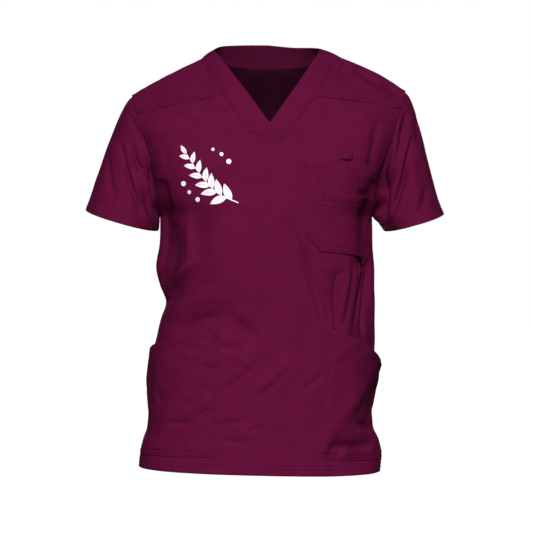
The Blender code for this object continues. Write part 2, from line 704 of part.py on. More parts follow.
def make_chest_pockets(half):
    """The chest pocket and the lower layer sewn over it, which share their grid's rows."""
    pocket = CHEST_POCKET
    shares = np.linspace(0, 1, POCKET_COLUMNS + 1)
    opening = pocket.open_in + (pocket.open_out - pocket.open_in) * shares
    bottom = pocket.low_in + (pocket.low_out - pocket.low_in) * shares
    front_opening = np.interp(shares, (0, 1), CHEST_FRONT_OPENING)
    front_share = (front_opening - bottom) / (opening - bottom)
    lower = np.linspace(0, 1, CHEST_FRONT_ROWS + 1)[:, None] * front_share
    upper_rows = np.linspace(0, 1, POCKET_ROWS - CHEST_FRONT_ROWS + 1)[1:, None]
    rise = np.concatenate((lower, front_share + upper_rows * (1 - front_share)))
    u, t = pocket_place(pocket, half, rise, CHAMFER)
    lift = POCKET_LIFT + WALL + stand_off(rise, pocket.fade, pocket.gape, pocket.tip)
    back_layer = patch("chest_pocket", half, u, t, lift)
    rows = CHEST_FRONT_ROWS + 1
    own = stand_off(lower / front_share, pocket.fade, CHEST_FRONT_GAPE, pocket.tip)
    front_lift = lift[:rows] + WALL + POCKET_LIFT + own
    return [back_layer, patch("chest_pocket_front", half, u[:rows], t[:rows], front_lift)]


def make_loop(half):
    """The tape loop above the chest pocket: sewn down at its ends, arched between them."""
    shares = np.linspace(0, 1, LOOP_COLUMNS + 1)
    x, z = np.meshgrid(
        LOOP_INNER + (LOOP_OUTER - LOOP_INNER) * shares,
        np.linspace(LOOP_BOTTOM, LOOP_TOP, LOOP_ROWS + 1),
    )
    t = z - HEM_LEVEL
    u = half.find_u(x.ravel(), t.ravel()).reshape(t.shape)
    lift = POCKET_LIFT + WALL + LOOP_RISE * np.sin(math.pi * shares)
    return patch("pocket_loop", half, u, t, lift)


def share_normals(pieces):
    """Gives points that meet across a seam one common direction, so that the walls mitre."""
    own = [np.unique([i for edge in p.rim() for i in edge]) for p in pieces]
    points = np.concatenate([p.points[i] for p, i in zip(pieces, own)])
    normals = np.concatenate([p.normals[i] for p, i in zip(pieces, own)])
    near = np.linalg.norm(points[:, None] - points[None], axis=2) < SEAM_REACH
    alike = normals @ normals.T > SEAM_LEAST_COSINE
    mixed = unit((near & alike) @ normals)
    start = 0
    for piece, ids in zip(pieces, own):
        piece.normals[ids] = mixed[start : start + len(ids)]
        start += len(ids)


def cloth_material(name):
    """The finish of one piece of cloth."""
    material = bpy.data.materials.new(name)
    material.use_nodes = True
    shader = material.node_tree.nodes["Principled BSDF"]
    shader.inputs["Base Color"].default_value = colour_values(CLOTH_COLOUR)
    shader.inputs["Roughness"].default_value = CLOTH_ROUGHNESS
    shader.inputs["Metallic"].default_value = 0.0
    return material


def add_object(cloth, parent):
    """Puts a piece of cloth in the scene, with its own material, under a parent."""
    mesh = cloth.solid(WALL)
    mesh.shade_smooth()
    mesh.set_sharp_from_angle(angle=math.radians(SHARP_ANGLE))
    mesh.materials.append(cloth_material(cloth.name + "_cloth"))
    made = bpy.data.objects.new(cloth.name, mesh)
    made.parent = parent
    bpy.context.scene.collection.objects.link(made)
    return made


def clear_scene():
    """Removes every object that the scene starts with."""
    for old in list(bpy.data.objects):
        bpy.data.objects.remove(old, do_unlink=True)


def make_top():
    """Builds every piece of the scrub top under one empty."""
    clear_scene()
    garment = bpy.data.objects.new("scrub_top", None)
    bpy.context.scene.collection.objects.link(garment)
    fronts = {side: front_half(side) for side in (-1, 1)}
    backs = {side: back_half(side) for side in (-1, 1)}
    pieces = [
        make_front(fronts),
        make_back(backs),
        make_yoke("yoke_left", -1, fronts[-1]),
        make_yoke("yoke_right", 1, fronts[1]),
        make_sleeve("sleeve_left", -1, fronts[-1], backs[-1]),
        make_sleeve("sleeve_right", 1, fronts[1], backs[1]),
        make_neckband(fronts, backs),
    ]
    share_normals(pieces)
    pieces.append(make_hip_pocket("hip_pocket_left", -1, fronts[-1]))
    pieces.append(make_hip_pocket("hip_pocket_right", 1, fronts[1]))
    pieces += make_chest_pockets(fronts[1])
    pieces.append(make_loop(fronts[1]))
    for piece in pieces:
        add_object(piece, garment)


make_top()
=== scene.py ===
"""The looks of a short-sleeved V-neck scrub top, hollow and filled out as if it were worn.

Sizes are in millimetres and meshes in metres. The front faces -Y, and left and right are as
the front is looked at. Every cut piece is a fine sheet on the smooth form of its solid, with
its folds, puckers, turned hems and rows of stitches laid into it.
"""

import logging
import math
from collections.abc import Sequence
from dataclasses import dataclass, field
from enum import IntEnum

import bpy
import numpy as np
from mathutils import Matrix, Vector


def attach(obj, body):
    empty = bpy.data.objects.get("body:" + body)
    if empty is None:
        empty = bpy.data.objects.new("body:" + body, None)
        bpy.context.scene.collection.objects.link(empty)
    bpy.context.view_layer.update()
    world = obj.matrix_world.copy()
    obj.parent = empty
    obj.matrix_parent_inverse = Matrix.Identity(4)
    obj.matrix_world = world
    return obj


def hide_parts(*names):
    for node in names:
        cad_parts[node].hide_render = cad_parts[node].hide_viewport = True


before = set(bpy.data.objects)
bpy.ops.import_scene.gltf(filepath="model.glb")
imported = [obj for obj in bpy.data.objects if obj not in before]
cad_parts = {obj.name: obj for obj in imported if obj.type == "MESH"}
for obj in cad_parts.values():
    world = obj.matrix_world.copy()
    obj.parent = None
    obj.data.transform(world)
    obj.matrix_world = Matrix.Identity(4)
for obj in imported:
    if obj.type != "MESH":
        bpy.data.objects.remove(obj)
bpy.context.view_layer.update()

Array = np.ndarray
Node = bpy.types.ShaderNode
LOG = logging.getLogger("scrub_top")

MM = 0.001

# The form, shared by all pieces. Levels are heights, and BASE_UP and ARMPIT_UP start at the hem.
BASE_LEVEL = -164  # the base of the V
ARMPIT_LEVEL = -284
HEM_LEVEL = -710
BASE_UP = BASE_LEVEL - HEM_LEVEL
ARMPIT_UP = ARMPIT_LEVEL - HEM_LEVEL
LEVEL_EDGES = 4  # how many of the front's edges are level
YOKE_SEAM = 6  # the number of the front's edge at the yoke seam
BACK_NECK = 3  # the number of the back's edge at the neck seam
LEAD, TRAIL = 0.48, 0.34  # how strongly an upper section's curve pulls at its two ends
NEXT_ARCH = 0.6  # how much of the shoulder seam's arch the section next to it has
RIDGE_LEAN = 0.1
HEM_TILT = 0.02
HEM_TILT_HEIGHT = 120
SEAM_U = 0.12  # how near to the side seam the folds fade, as a share of the half
FOLD_END = 0.6  # how bluntly a fold ends
WALL = 1.6  # the solids' walls, whose outer faces the sheets lie on
CLOTH = 0.9  # the sheets' own thickness
POCKET_LIFT = 0.8  # from the cloth that a pocket is sewn to
FAR_OFF = 200.0  # a distance from the armhole at which its sewing doesn't show

# The grids: how close the points of a sheet are, and how close beside a stitched line.
SPACING = 3.1
LINE_STEPS = np.array((-2.6, -1.7, -0.9, 0.0, 0.9, 1.7, 2.6))
FINE = 121
NEARBY_U, NEARBY_T = 0.004, 1.0
NEAR = (0.0, 1.4, 2.8)  # the first columns' distances from the inner end
FAR = (0.0, 1.4, 2.8, 4.3, 5.2, 6.0, 6.8, 7.7, 9.6)  # the last columns' from the outer end


class Side(IntEnum):
    """A half of the top, as its front is looked at."""

    LEFT = -1
    RIGHT = 1


class Face(IntEnum):
    """Which of a sheet's material slots a face of its mesh has."""

    OUTSIDE = 0
    REVERSE = 1


class Draw(IntEnum):
    """The seeds of the random draws. Those of a piece on both halves have the side added."""

    FRONT_DENTS = 3
    BACK_DENTS = 5
    YOKE_DENTS = 7
    SLEEVE_DENTS = 9
    FRONT_HEM = 11
    BACK_HEM = 13
    FRONT_ARMHOLE = 21
    FRONT_TOP = 25
    FRONT_NECK = 29
    YOKE_LOW = 33
    YOKE_ARMHOLE = 37
    YOKE_NECK = 41
    BACK_ARMHOLE = 45
    SLEEVE_TOP = 49
    SLEEVE_HEM = 53
    NECKBAND = 57
    HIP_LEFT = 61
    HIP_RIGHT = 67
    CHEST = 71
    CHEST_FRONT = 73


@dataclass(frozen=True)
class Section:
    """A level section of the body tube: its reach each way and how full its corners are."""

    z: float
    left: float
    right: float
    front: float
    back: float
    fullness: float


@dataclass(frozen=True)
class Edge:
    """The two ends of an upper section, and the plan angles at which the cloth meets them."""

    neck_x: float
    neck_y: float
    neck_z: float
    arm_x: float
    arm_y: float
    arm_z: float
    start: float
    turn: float


@dataclass(frozen=True)
class Fold:
    """A trough (rise below 0) or a ridge, from one place on the cloth to another.

    across is the distance along the cloth from the middle of the front. The fold's middle
    bows sideways by bend, and lean makes one flank steeper (up to 1) than the other.
    """

    across_1: float
    z_1: float
    across_2: float
    z_2: float
    width: float
    rise: float
    bend: float = 0.0
    lean: float = 0.0

    def relief(self, across: Array, z: Array) -> Array:
        """How far the fold raises the cloth at each place.

        Args:
            across: the places' distances along the cloth.
            z: the places' heights.

        Returns:
            The rise at each place, in millimetres.
        """
        run = np.array((self.across_2 - self.across_1, self.z_2 - self.z_1), float)
        length = np.hypot(*run)
        run /= length
        share = ((across - self.across_1) * run[0] + (z - self.z_1) * run[1]) / length
        share = np.clip(share, 0, 1)
        off = (z - self.z_1) * run[0] - (across - self.across_1) * run[1]
        off = off - self.bend * 4 * share * (1 - share)
        width = self.width * (1 + self.lean * np.sign(off))
        return self.rise * np.exp(-((off / width) ** 2)) * np.sin(math.pi * share) ** FOLD_END


SECTIONS = (
    Section(HEM_LEVEL, 221, 188, 119, 107, 0.64),
    Section(-690, 219, 190, 118, 106, 0.64),
    Section(-664, 212, 185, 116, 105, 0.64),
    Section(-644, 205, 176, 115, 104, 0.64),
    Section(-622, 203, 172.5, 115, 103, 0.63),
    Section(-598, 204, 173.5, 114, 103, 0.63),
    Section(-560, 205, 176, 113, 101, 0.62),
    Section(-524, 200, 178, 112, 99, 0.62),
    Section(-483, 190, 180, 112, 96, 0.62),
    Section(-452, 182, 180, 113, 94, 0.62),
    Section(-430, 175, 180, 114, 93, 0.62),
    Section(-400, 185, 179, 115, 94, 0.62),
    Section(-371, 192, 179, 116, 96, 0.62),
    Section(-330, 186, 176, 117, 100, 0.62),
    Section(ARMPIT_LEVEL, 185, 175, 117, 105, 0.62),
)
FRONT_EDGES = {
    Side.LEFT: (
        Edge(12.5, -117, -262, 187, -34, -262, 0, 84),
        Edge(12.5, -114, -225, 190, -52, -225, 0, 76),
        Edge(12.5, -110, -192, 196, -57, -192, 0, 66),
        Edge(12.5, -104, BASE_LEVEL, 204, -56, BASE_LEVEL, 0, 58),
        Edge(37.5, -101, -137, 212, -52, -141, 4, 50),
        Edge(60.5, -91, -104, 218, -45, -123, 8, 44),
        Edge(74, -78, -82, 222, -37, -111, 10, 38),
        Edge(88.7, -58, -60, 226.5, -24, -97, 10, 28),
        Edge(102, -28, -33, 230.5, -8, -84, 6, 14),
        Edge(115, 2, -15, 233, 8, -76, 2, 4),
    ),
    Side.RIGHT: (
        Edge(18.5, -117, -262, 177, -34, -262, 0, 84),
        Edge(18.5, -114, -225, 180, -52, -225, 0, 76),
        Edge(18.5, -110, -192, 190, -57, -192, 0, 66),
        Edge(18.5, -104, BASE_LEVEL, 200.5, -56, BASE_LEVEL, 0, 58),
        Edge(41, -99, -133, 209, -52, -139, 4, 50),
        Edge(62, -90, -103, 216, -44, -117, 8, 44),
        Edge(76, -78, -84, 221, -35, -102, 10, 38),
        Edge(92, -56, -59, 225.5, -22, -89, 10, 28),
        Edge(108, -25, -33, 229.5, -8, -77, 6, 14),
        Edge(121, 2, -12, 232, 8, -69, 2, 4),
    ),
}
BACK_EDGES = {
    Side.LEFT: (
        Edge(0, 108, -240, 190, 48, -250, 0, 80),
        Edge(0, 107, -170, 202, 68, -200, 0, 66),
        Edge(0, 92, -85, 212, 69, -165, 0, 50),
        Edge(0, 66, -26, 219, 59, -135, 0, 38),
        Edge(40, 61, -25, 225, 47, -113, 4, 28),
        Edge(83, 40, -20, 229, 33, -95, 6, 18),
        Edge(107, 17, -16, 232, 18, -82, 4, 8),
        Edge(115, 2, -15, 233, 8, -76, 2, 4),
    ),
    Side.RIGHT: (
        Edge(0, 108, -240, 180, 48, -250, 0, 80),
        Edge(0, 107, -170, 195, 68, -200, 0, 66),
        Edge(0, 92, -85, 208, 69, -162, 0, 50),
        Edge(0, 66, -26, 216, 59, -130, 0, 38),
        Edge(42, 61, -25, 223, 47, -107, 4, 28),
        Edge(87, 40, -20, 228, 33, -88, 6, 18),
        Edge(113, 17, -14, 231, 18, -75, 4, 8),
        Edge(121, 2, -12, 232, 8, -69, 2, 4),
    ),
}
RIDGE_ARCH = {Side.LEFT: 3, Side.RIGHT: 7}  # how far the shoulder seams arch up
SIDE_STOP = 0.995  # how near to the side seam, as u, a hip pocket ends
GAPE_POWER = 0.7  # how bluntly an opening's gape closes at its two ends
TIP_POWER = 6  # how near to its outer end an opening stands off most
CUFF_SAG = 8
SHOULDER_SLOPE = 0.55
ARMPIT_SPREAD = 0.9
BAND_CROWN = 1.0
SLEEVE_TURN = 180  # degrees that count as the sleeve's own length in its folds

# Sewing that several pieces share.
HEM_STITCHES = (10.0, 15.0)  # the rows' distances above the hem's edge
HEM_TURN = 19.0  # how far up the turned-in cloth reaches
HEM_RAISE = 0.5
ARMHOLE_STITCH = 6.0
ARMHOLE_COLUMN = -1 - FAR.index(ARMHOLE_STITCH)
SEAM_RAISE = 0.5
SEAM_SINK = 0.35
STITCH_PULL = 0.7
STITCH_WIDTH = 1.1
UNEVEN = 0.3


@dataclass(frozen=True)
class Cuff:
    """A sleeve's cuff: an ellipse, with the pull of the cloth at the armhole and at the cuff."""

    outer_x: float
    outer_z: float
    inner_x: float
    inner_z: float
    half_depth: float
    middle_y: float
    leave: float
    arrive: float
    flare: float


CUFFS = {
    Side.LEFT: Cuff(311, -271, 188, -305, 75, 2, 0.36, 0.7, 0.06),
    Side.RIGHT: Cuff(297, -277, 195, -305, 82, 2, 0.36, 0.6, 0.25),
}
BAND_FRONT = {  # points on the neckband's free edge, from the V over the shoulders to the back
    Side.LEFT: (
        (0.5, -99, -130), (33, -85, -84), (58, -65, -50), (76, -41, -25), (88, -16, -8), (95, 3, 0)
    ),
    Side.RIGHT: (
        (2.5, -99, -130), (33, -85, -86), (55, -65, -53), (71, -41, -28), (82, -16, -9), (88, 3, 2)
    ),
}
BAND_BACK = {
    Side.LEFT: ((95, 3, 0), (84, 31, 9), (47, 53, 14), (2, 60, 15)),
    Side.RIGHT: ((88, 3, 2), (77, 31, 7), (43, 53, 10), (-2, 60, 15)),
}

# The largest folds, which the solids have too, and the finer creases.
DRAPE = 1.5  # how much deeper than their own figures the creases are
FRONT_FOLDS = (
    Fold(-176, -296, -184, -416, 24, -8),
    Fold(-143, -300, -125, -356, 13, 3.5),
    Fold(-125, -348, -212, -426, 15, 5),
    Fold(-77, -428, -14, -500, 18, -3),
    Fold(-158, -484, -86, -456, 13, -4),
    Fold(31, -296, 98, -464, 12, -2.5),
    Fold(109, -376, 105, -468, 12, -4),
    Fold(151, -368, 118, -464, 12, 4),
    Fold(207, -350, 146, -490, 14, -9),
    Fold(-30, -585, 50, -535, 14, 2.5),
)
FRONT_CREASES = (
    # The right waist: a tuck that ends in a hook, soft folds, and a deep cleft.
    Fold(111, -380, 112, -484, 6.0, -5.5, 0, 0.6),
    Fold(110, -381, 132, -377, 3.0, -1.6),
    Fold(153, -355, 123, -476, 7.0, -4.5, 2, 0.2),
    Fold(167, -357, 166, -394, 4.5, -3.0),
    Fold(227, -345, 167, -491, 8.0, -8.5, 3.5, 0.2),
    Fold(208, -352, 152, -482, 5.0, 2.4, 3.5),
    Fold(206, -325, 198, -505, 34.0, -8.0, 0, -0.3),
    Fold(31, -292, 90, -460, 4.0, -3.4, 4),
    Fold(60, -320, 101, -456, 4.0, -3.2, -2),
    Fold(47, -300, 95, -454, 4.0, 1.6, 2),
    # The left side: flat facets under the arm, a sharp slanting ridge, and a bulge below it.
    Fold(-212, -222, -214, -430, 36.0, -10.0, 0, 0.35),
    Fold(-138, -256, -139, -366, 8.0, 1.8, 0, 0.3),
    Fold(-83, -252, -83, -428, 34.0, 5.0, 0, 0.4),
    Fold(-122, -262, -124, -358, 14.0, -2.5),
    Fold(-181, -226, -192, -282, 9.0, -3.5),
    Fold(-131, -358, -214, -424, 5.0, 4.5, 0, 0.4),
    Fold(-119, -366, -196, -442, 7.0, -4.5),
    Fold(-184, -450, -88, -409, 14.0, 4.5),
    Fold(-154, -487, -76, -452, 9.0, -4.6, 12, 0.2),
    Fold(-92, -438, -18, -492, 16.0, -3.2, 4, -0.4),
    Fold(-84, -500, -42, -503, 7.0, -2.6),
    # The belly and above the hem.
    Fold(-82, -580, -16, -522, 6.0, -2.4, -2),
    Fold(-25, -589, 41, -528, 5.5, -2.1, -2),
    Fold(-30, -575, 36, -520, 7.0, 1.2, -2),
    Fold(54, -572, 92, -544, 5.0, -2.0),
    Fold(-92, -653, -20, -656, 5.0, -1.4),
    Fold(-108, -629, -30, -619, 5.0, -1.6, -2),
    Fold(-34, -638, -4, -627, 4.0, -1.4),
    Fold(-66, -525, -8, -560, 8.0, -1.2, 4),
    Fold(60, -560, 88, -660, 9.0, -1.0, -3),
    Fold(-60, -600, -30, -690, 10.0, 0.8, 4),
    # The chest: soft folds below the yokes.
    Fold(-122, -93, -68, -115, 7.0, -3.5),
    Fold(-186, -107, -110, -141, 6.5, -3.0, 3),
    Fold(-190, -150, -165, -215, 8.0, -1.2, 3),
    Fold(184, -120, 172, -208, 9.0, -3.5),
    Fold(120, -105, 70, -128, 9.0, -1.0, 3),
)
YOKE_FOLDS = {
    Side.LEFT: (
        Fold(-216, -70, -110, -97, 6.5, -4.5, 3),
        Fold(-205, -80, -140, -91, 5.0, 1.6, 3),
        Fold(-220, -82, -184, -96, 5.0, -2.6),
        Fold(-139, -51, -96, -67, 7.0, -2.6),
        Fold(-110, -28, -102, -62, 7.0, -3.0),
    ),
    Side.RIGHT: (
        Fold(145, -29, 190, -61, 8.0, -3.2),
        Fold(192, -57, 240, -79, 8.0, -3.6),
        Fold(134, -19, 118, -46, 7.0, -2.8),
        Fold(130, -52, 190, -74, 8.0, 1.6, 4),
    ),
}
BACK_FOLDS = (
    Fold(-196, -310, -150, -400, 18, -6),
    Fold(-120, -440, 60, -465, 16, -5),
    Fold(-60, -400, 130, -425, 14, 3),
    Fold(200, -330, 140, -420, 16, -6),
    Fold(-170, -150, -110, -250, 16, -4),
    Fold(165, -160, 115, -260, 14, -4),
    Fold(-90, -520, -110, -700, 22, 4),
    Fold(110, -530, 125, -700, 24, 4),
)
BACK_CREASES = (
    Fold(-192, -315, -152, -398, 6, -2.2, 4, 0.3),
    Fold(-118, -440, 20, -462, 5, -1.6, 6),
    Fold(-40, -466, 62, -462, 5, -1.2, -4),
    Fold(196, -335, 142, -418, 6, -2.0, -4),
    Fold(-166, -155, -114, -248, 6, -1.4, 5),
    Fold(162, -165, 117, -256, 6, -1.4, -5),
    Fold(-30, -130, -12, -230, 12, -1.2, 3),
    Fold(60, -520, 40, -650, 9, -1.0, 4),
    Fold(-150, -560, -130, -690, 10, 1.2, -4),
)
HIP_LEFT_FOLDS = (
    Fold(-172, -629, -124, -624, 4.5, -3.4),
    Fold(-132, -622, -95, -601, 6.0, -2.8),
    Fold(-114, -533, -82, -537, 6.0, -2.4),
    Fold(-206, -564, -184, -602, 8.0, -2.0),
    Fold(-224, -512, -228, -606, 22.0, -2.6),
    Fold(-110, -560, -96, -575, 6.0, -1.6),
    Fold(-185, -590, -120, -600, 9.0, -1.4, 4),
    Fold(-150, -500, -100, -512, 7.0, -1.4, 3),
)
HIP_RIGHT_FOLDS = (
    Fold(157, -629, 222, -645, 6.0, -3.8, 2, 0.3),
    Fold(158, -635, 190, -655, 4.0, 3.4, -2),
    Fold(96, -690, 234, -684, 22.0, -7.0),
    Fold(224, -566, 150, -694, 30.0, -4.2),
    Fold(178, -586, 148, -640, 14.0, -1.2),
    Fold(94, -662, 206, -663, 8.0, -5.5, -2),
    Fold(92, -688, 124, -648, 7.0, -3.6),
    Fold(108, -688, 132, -656, 6.0, -3.2),
    Fold(196, -553, 90, -664, 14.0, 2.4, -6, -0.2),
    Fold(205, -560, 225, -610, 9.0, -0.8),
)
CHEST_FOLDS = (
    Fold(187, -222, 187, -374, 28, -9.0),  # beside the pockets' outer edges
    Fold(150, -245, 182, -252, 6.0, -2.6),
    Fold(164, -195, 192, -206, 4.0, -2.0),
)
SLEEVE_FOLDS = {
    # Here across is the angle round the sleeve in degrees, from its top towards the front,
    # and z and the width are 180 times a share of the way to the cuff.
    Side.LEFT: (Fold(95, 18, 60, 144, 16.2, -4), Fold(125, 45, 105, 171, 14.4, -3)),
    Side.RIGHT: (Fold(100, 9, 70, 126, 16.2, -5), Fold(40, 54, 55, 171, 16.2, -3)),
}
SLEEVE_CREASES = {
    Side.LEFT: (
        Fold(32, 15, 76, 9, 5, -3.4),
        Fold(60, 35, 92, 51, 8, -5.0),
        Fold(82, 51, 126, 5, 8, -6.0),
        Fold(86, 24, 118, 3, 5, -4.5),
        Fold(38, 53, 120, 132, 6.5, -6.0, -8),
        Fold(48, 66, 112, 112, 6, 2.0, -14),
        Fold(23, 87, 72, 136, 6, -3.4),
        Fold(116, 58, 150, 124, 14, -4.5),
        Fold(236, 14, 262, 120, 8, -3.6, 3),
        Fold(290, 24, 276, 150, 9, -2.6),
        Fold(212, 20, 225, 110, 7, -2.6),
    ),
    Side.RIGHT: (
        Fold(38, 7, 94, 7, 4, 2.0),
        Fold(30, 16, 84, 31, 8, -6.0),
        Fold(36, 46, 128, 118, 10, -9.0, -7, 0.4),
        Fold(126, 35, 88, 57, 8, -6.5),
        Fold(112, 12, 172, 112, 20, -9.0),
        Fold(64, 13, 102, 34, 9, 3.4),
        Fold(37, 129, 82, 157, 7, -3.0),
        Fold(79, 103, 114, 141, 7, -3.0),
        Fold(4, 35, 29, 67, 8, -3.4),
        Fold(240, 14, 266, 120, 8, -3.6, 3),
        Fold(292, 24, 280, 150, 9, -2.6),
        Fold(214, 20, 228, 110, 7, -2.6),
    ),
}
SLEEVE_VALLEYS = {Side.LEFT: (15.0, 3.0), Side.RIGHT: (26.0, 7.5)}  # their depth and spread


def unit(vectors: Array) -> Array:
    """Scales vectors to a length of one."""
    return vectors / np.maximum(np.linalg.norm(vectors, axis=-1, keepdims=True), 1e-9)


def hermite(part: Array, start: Array, start_pull: Array, end: Array, end_pull: Array) -> Array:
    """A cubic from one place to another.

    Args:
        part: how far along it each wanted point is, from 0 to 1.
        start: where it starts.
        start_pull: its slope there.
        end: where it ends.
        end_pull: its slope there.

    Returns:
        The wanted points.
    """
    square, cube = part**2, part**3
    return (
        (2 * cube - 3 * square + 1) * start
        + (cube - 2 * square + part) * start_pull
        + (3 * square - 2 * cube) * end
        + (cube - square) * end_pull
    )


def bezier(net: Array, u: Array) -> Array:
    """A cubic Bezier curve's points.

    Args:
        net: control points, (..., 4, 3).
        u: a place on each curve, from 0 to 1.

    Returns:
        The points, (..., 3).
    """
    u = np.asarray(u)[..., None]
    v = 1 - u
    weights = (v**3, 3 * v**2 * u, 3 * v * u**2, u**3)
    return sum(w * net[..., i, :] for i, w in enumerate(weights))


def lengths(line: Array, axis: int = 0) -> Array:
    """The distance along a line of points, from its start to each of them.

    Args:
        line: points, with their coordinates last.
        axis: the axis that runs along the line.

    Returns:
        The distances, in the shape of the points.
    """
    steps = np.linalg.norm(np.diff(line, axis=axis), axis=-1)
    pad = [(0, 0)] * steps.ndim
    pad[axis] = (1, 0)
    return np.pad(np.cumsum(steps, axis=axis), pad)


def along(points: Sequence, shares: Array) -> Array:
    """Points on a smooth line through a few given ones.

    Args:
        points: the given points.
        shares: how far along the line the wanted points are, from 0 to 1.

    Returns:
        The wanted points.
    """
    points = np.array(points, float)
    knots = lengths(points)
    slopes = np.gradient(points, knots, axis=0)
    where = np.asarray(shares) * knots[-1]
    row = np.clip(np.searchsorted(knots, where, side="right") - 1, 0, len(knots) - 2)
    step = (knots[row + 1] - knots[row])[:, None]
    part = (where - knots[row])[:, None] / step
    pulls = step * slopes[row], step * slopes[row + 1]
    return hermite(part, points[row], pulls[0], points[row + 1], pulls[1])


def resampled(place: Array, where: Array, line: Array) -> Array:
    """The points of a line, known at some places along it, at other places."""
    return np.stack([np.interp(where, place, line[:, i]) for i in range(line.shape[1])], axis=1)


def mix(ends: tuple[float, float], share: Array) -> Array:
    """Values between two ends, at shares of the way from the first to the second."""
    return ends[0] + (ends[1] - ends[0]) * share


def row_at(places: Array, wanted: float) -> int:
    """The number of the place nearest to a wanted one."""
    return int(np.argmin(np.abs(places - wanted)))


def near_line(distance: Array, width: float) -> Array:
    """1 on a line, falling softly to 0 over about the given width on both sides."""
    return np.exp(-((distance / width) ** 2))


def step_up(distance: Array, width: float) -> Array:
    """0 before a line and 1 after it, with a soft step of about the given width."""
    return 0.5 + 0.5 * np.tanh(distance / width)


def waves(place: Array, seed: int, shortest: float, longest: float) -> Array:
    """An uneven run of waves along a line, for puckers.

    Args:
        place: distances along the line.
        seed: picks the waves.
        shortest: the shortest wave's length.
        longest: the longest wave's length.

    Returns:
        Heights, mostly between -1 and 1.
    """
    rng = np.random.default_rng(seed)
    total = np.zeros(np.shape(place))
    for wave in np.geomspace(shortest, longest, 5):
        total += np.sin(2 * math.pi * (place / wave + rng.uniform()))
    slow = 0.6 + 0.4 * np.sin(2 * math.pi * (place / (4.3 * longest) + rng.uniform()))
    return total * slow / 2.2


def crumple(across: Array, z: Array, size: float, seed: int) -> Array:
    """Shallow unevenness of cloth that has no folds, about -1 to 1 high.

    Args:
        across: the places' distances along the cloth.
        z: the places' heights.
        size: about how far apart its dents are.
        seed: picks them.

    Returns:
        Its height at each place.
    """
    rng = np.random.default_rng(seed)
    warp = 0.35 * size
    x = across + warp * np.sin(2 * math.pi * z / (2.7 * size) + rng.uniform(0, 6))
    y = z + warp * np.sin(2 * math.pi * across / (3.1 * size) + rng.uniform(0, 6))
    total = np.zeros(np.broadcast(across, z).shape)
    for _ in range(8):
        angle, wave = rng.uniform(0, math.pi), size * rng.uniform(0.7, 1.9)
        turned = x * math.cos(angle) + y * math.sin(angle)
        total += np.sin(2 * math.pi * (turned / wave + rng.uniform()))
    return total / 3


def puckers(
    height: Array | float,
    place: Array,
    seed: int,
    span: tuple[float, float],
    distance: Array,
    reach: float,
) -> Array:
    """Puckers along a line, which die away beside it.

    Args:
        height: how high they are.
        place: distances along the line.
        seed: picks them.
        span: the shortest and the longest wave.
        distance: distances from the line.
        reach: about how far from it they go.

    Returns:
        The rise at each place.
    """
    return height * waves(place, seed, *span) * near_line(distance, reach)


def folded(folds: Sequence[Fold], across: Array, z: Array) -> Array:
    """The rise of a list of folds together, at each place."""
    return sum(fold.relief(across, z) for fold in folds)


def seam_fade(u: Array) -> Array:
    """How much of its folds the cloth has: less beside the side seam."""
    return np.minimum(1, (1 - u) / SEAM_U)


def grooves(distance: Array, rows: Sequence[float]) -> Array:
    """How far rows of stitches, at given distances from an edge, pull the cloth in."""
    return -STITCH_PULL * sum(near_line(distance - row, STITCH_WIDTH) for row in rows)


def spaced(stops: Sequence[float], lines: Sequence[float], spacing: float = SPACING) -> Array:
    """Places for a grid's rows or columns, close together beside stitched lines.

    Args:
        stops: where stretches start and end; a row lies on each.
        lines: where stitched lines run.
        spacing: how far apart the other places are.

    Returns:
        The places, in order.
    """
    kept = list(stops)
    for line in lines:
        for place in line + LINE_STEPS:
            inside = stops[0] <= place <= stops[-1]
            if inside and min(abs(place - k) for k in kept) > 0.5:
                kept.append(place)
    kept = np.array(sorted(kept))
    found = [kept[:1]]
    for low, high in zip(kept[:-1], kept[1:]):
        found.append(np.linspace(low, high, max(1, round((high - low) / spacing)) + 1)[1:])
    return np.concatenate(found)


@dataclass
class Places:
    """Where the points of a grid lie on a half of the top."""

    u: Array
    t: Array
    near: Array
    far: Array
    across: Array
    z: Array


def hem_relief(p: Places, seed: int) -> Array:
    """The rise of a body hem: a double thickness, two rows of stitches, and their puckers.

    Args:
        p: the places.
        seed: picks the puckers.

    Returns:
        The rise at each place.
    """
    rise = HEM_RAISE * (1 - step_up(p.t - HEM_TURN, 1.3)) + grooves(p.t, HEM_STITCHES)
    rise += puckers(0.45, p.across, seed, (9, 38), p.t - 14, 13)
    return rise + puckers(0.8, p.across, seed + 1, (30, 120), p.t, 22)


def armhole_relief(p: Places, seed: int, height: float = 0.45, reach: float = 9.0) -> Array:
    """The rise beside an armhole: a double thickness, its row of stitches, and puckers.

    Args:
        p: the places.
        seed: picks the puckers.
        height: how high they are.
        reach: how far from the seam they go.

    Returns:
        The rise at each place.
    """
    edge = SEAM_RAISE * (1 - step_up(p.far - ARMHOLE_STITCH - 2, 1.5))
    pucker = puckers(height, p.t, seed, (9, 31), p.far - 3, reach)
    return edge + pucker + grooves(p.far, (ARMHOLE_STITCH,))


def above_armpit(z: Array) -> Array:
    """1 above the armpits and 0 below them, with a soft step."""
    return step_up(z - ARMPIT_LEVEL - 6, 6)


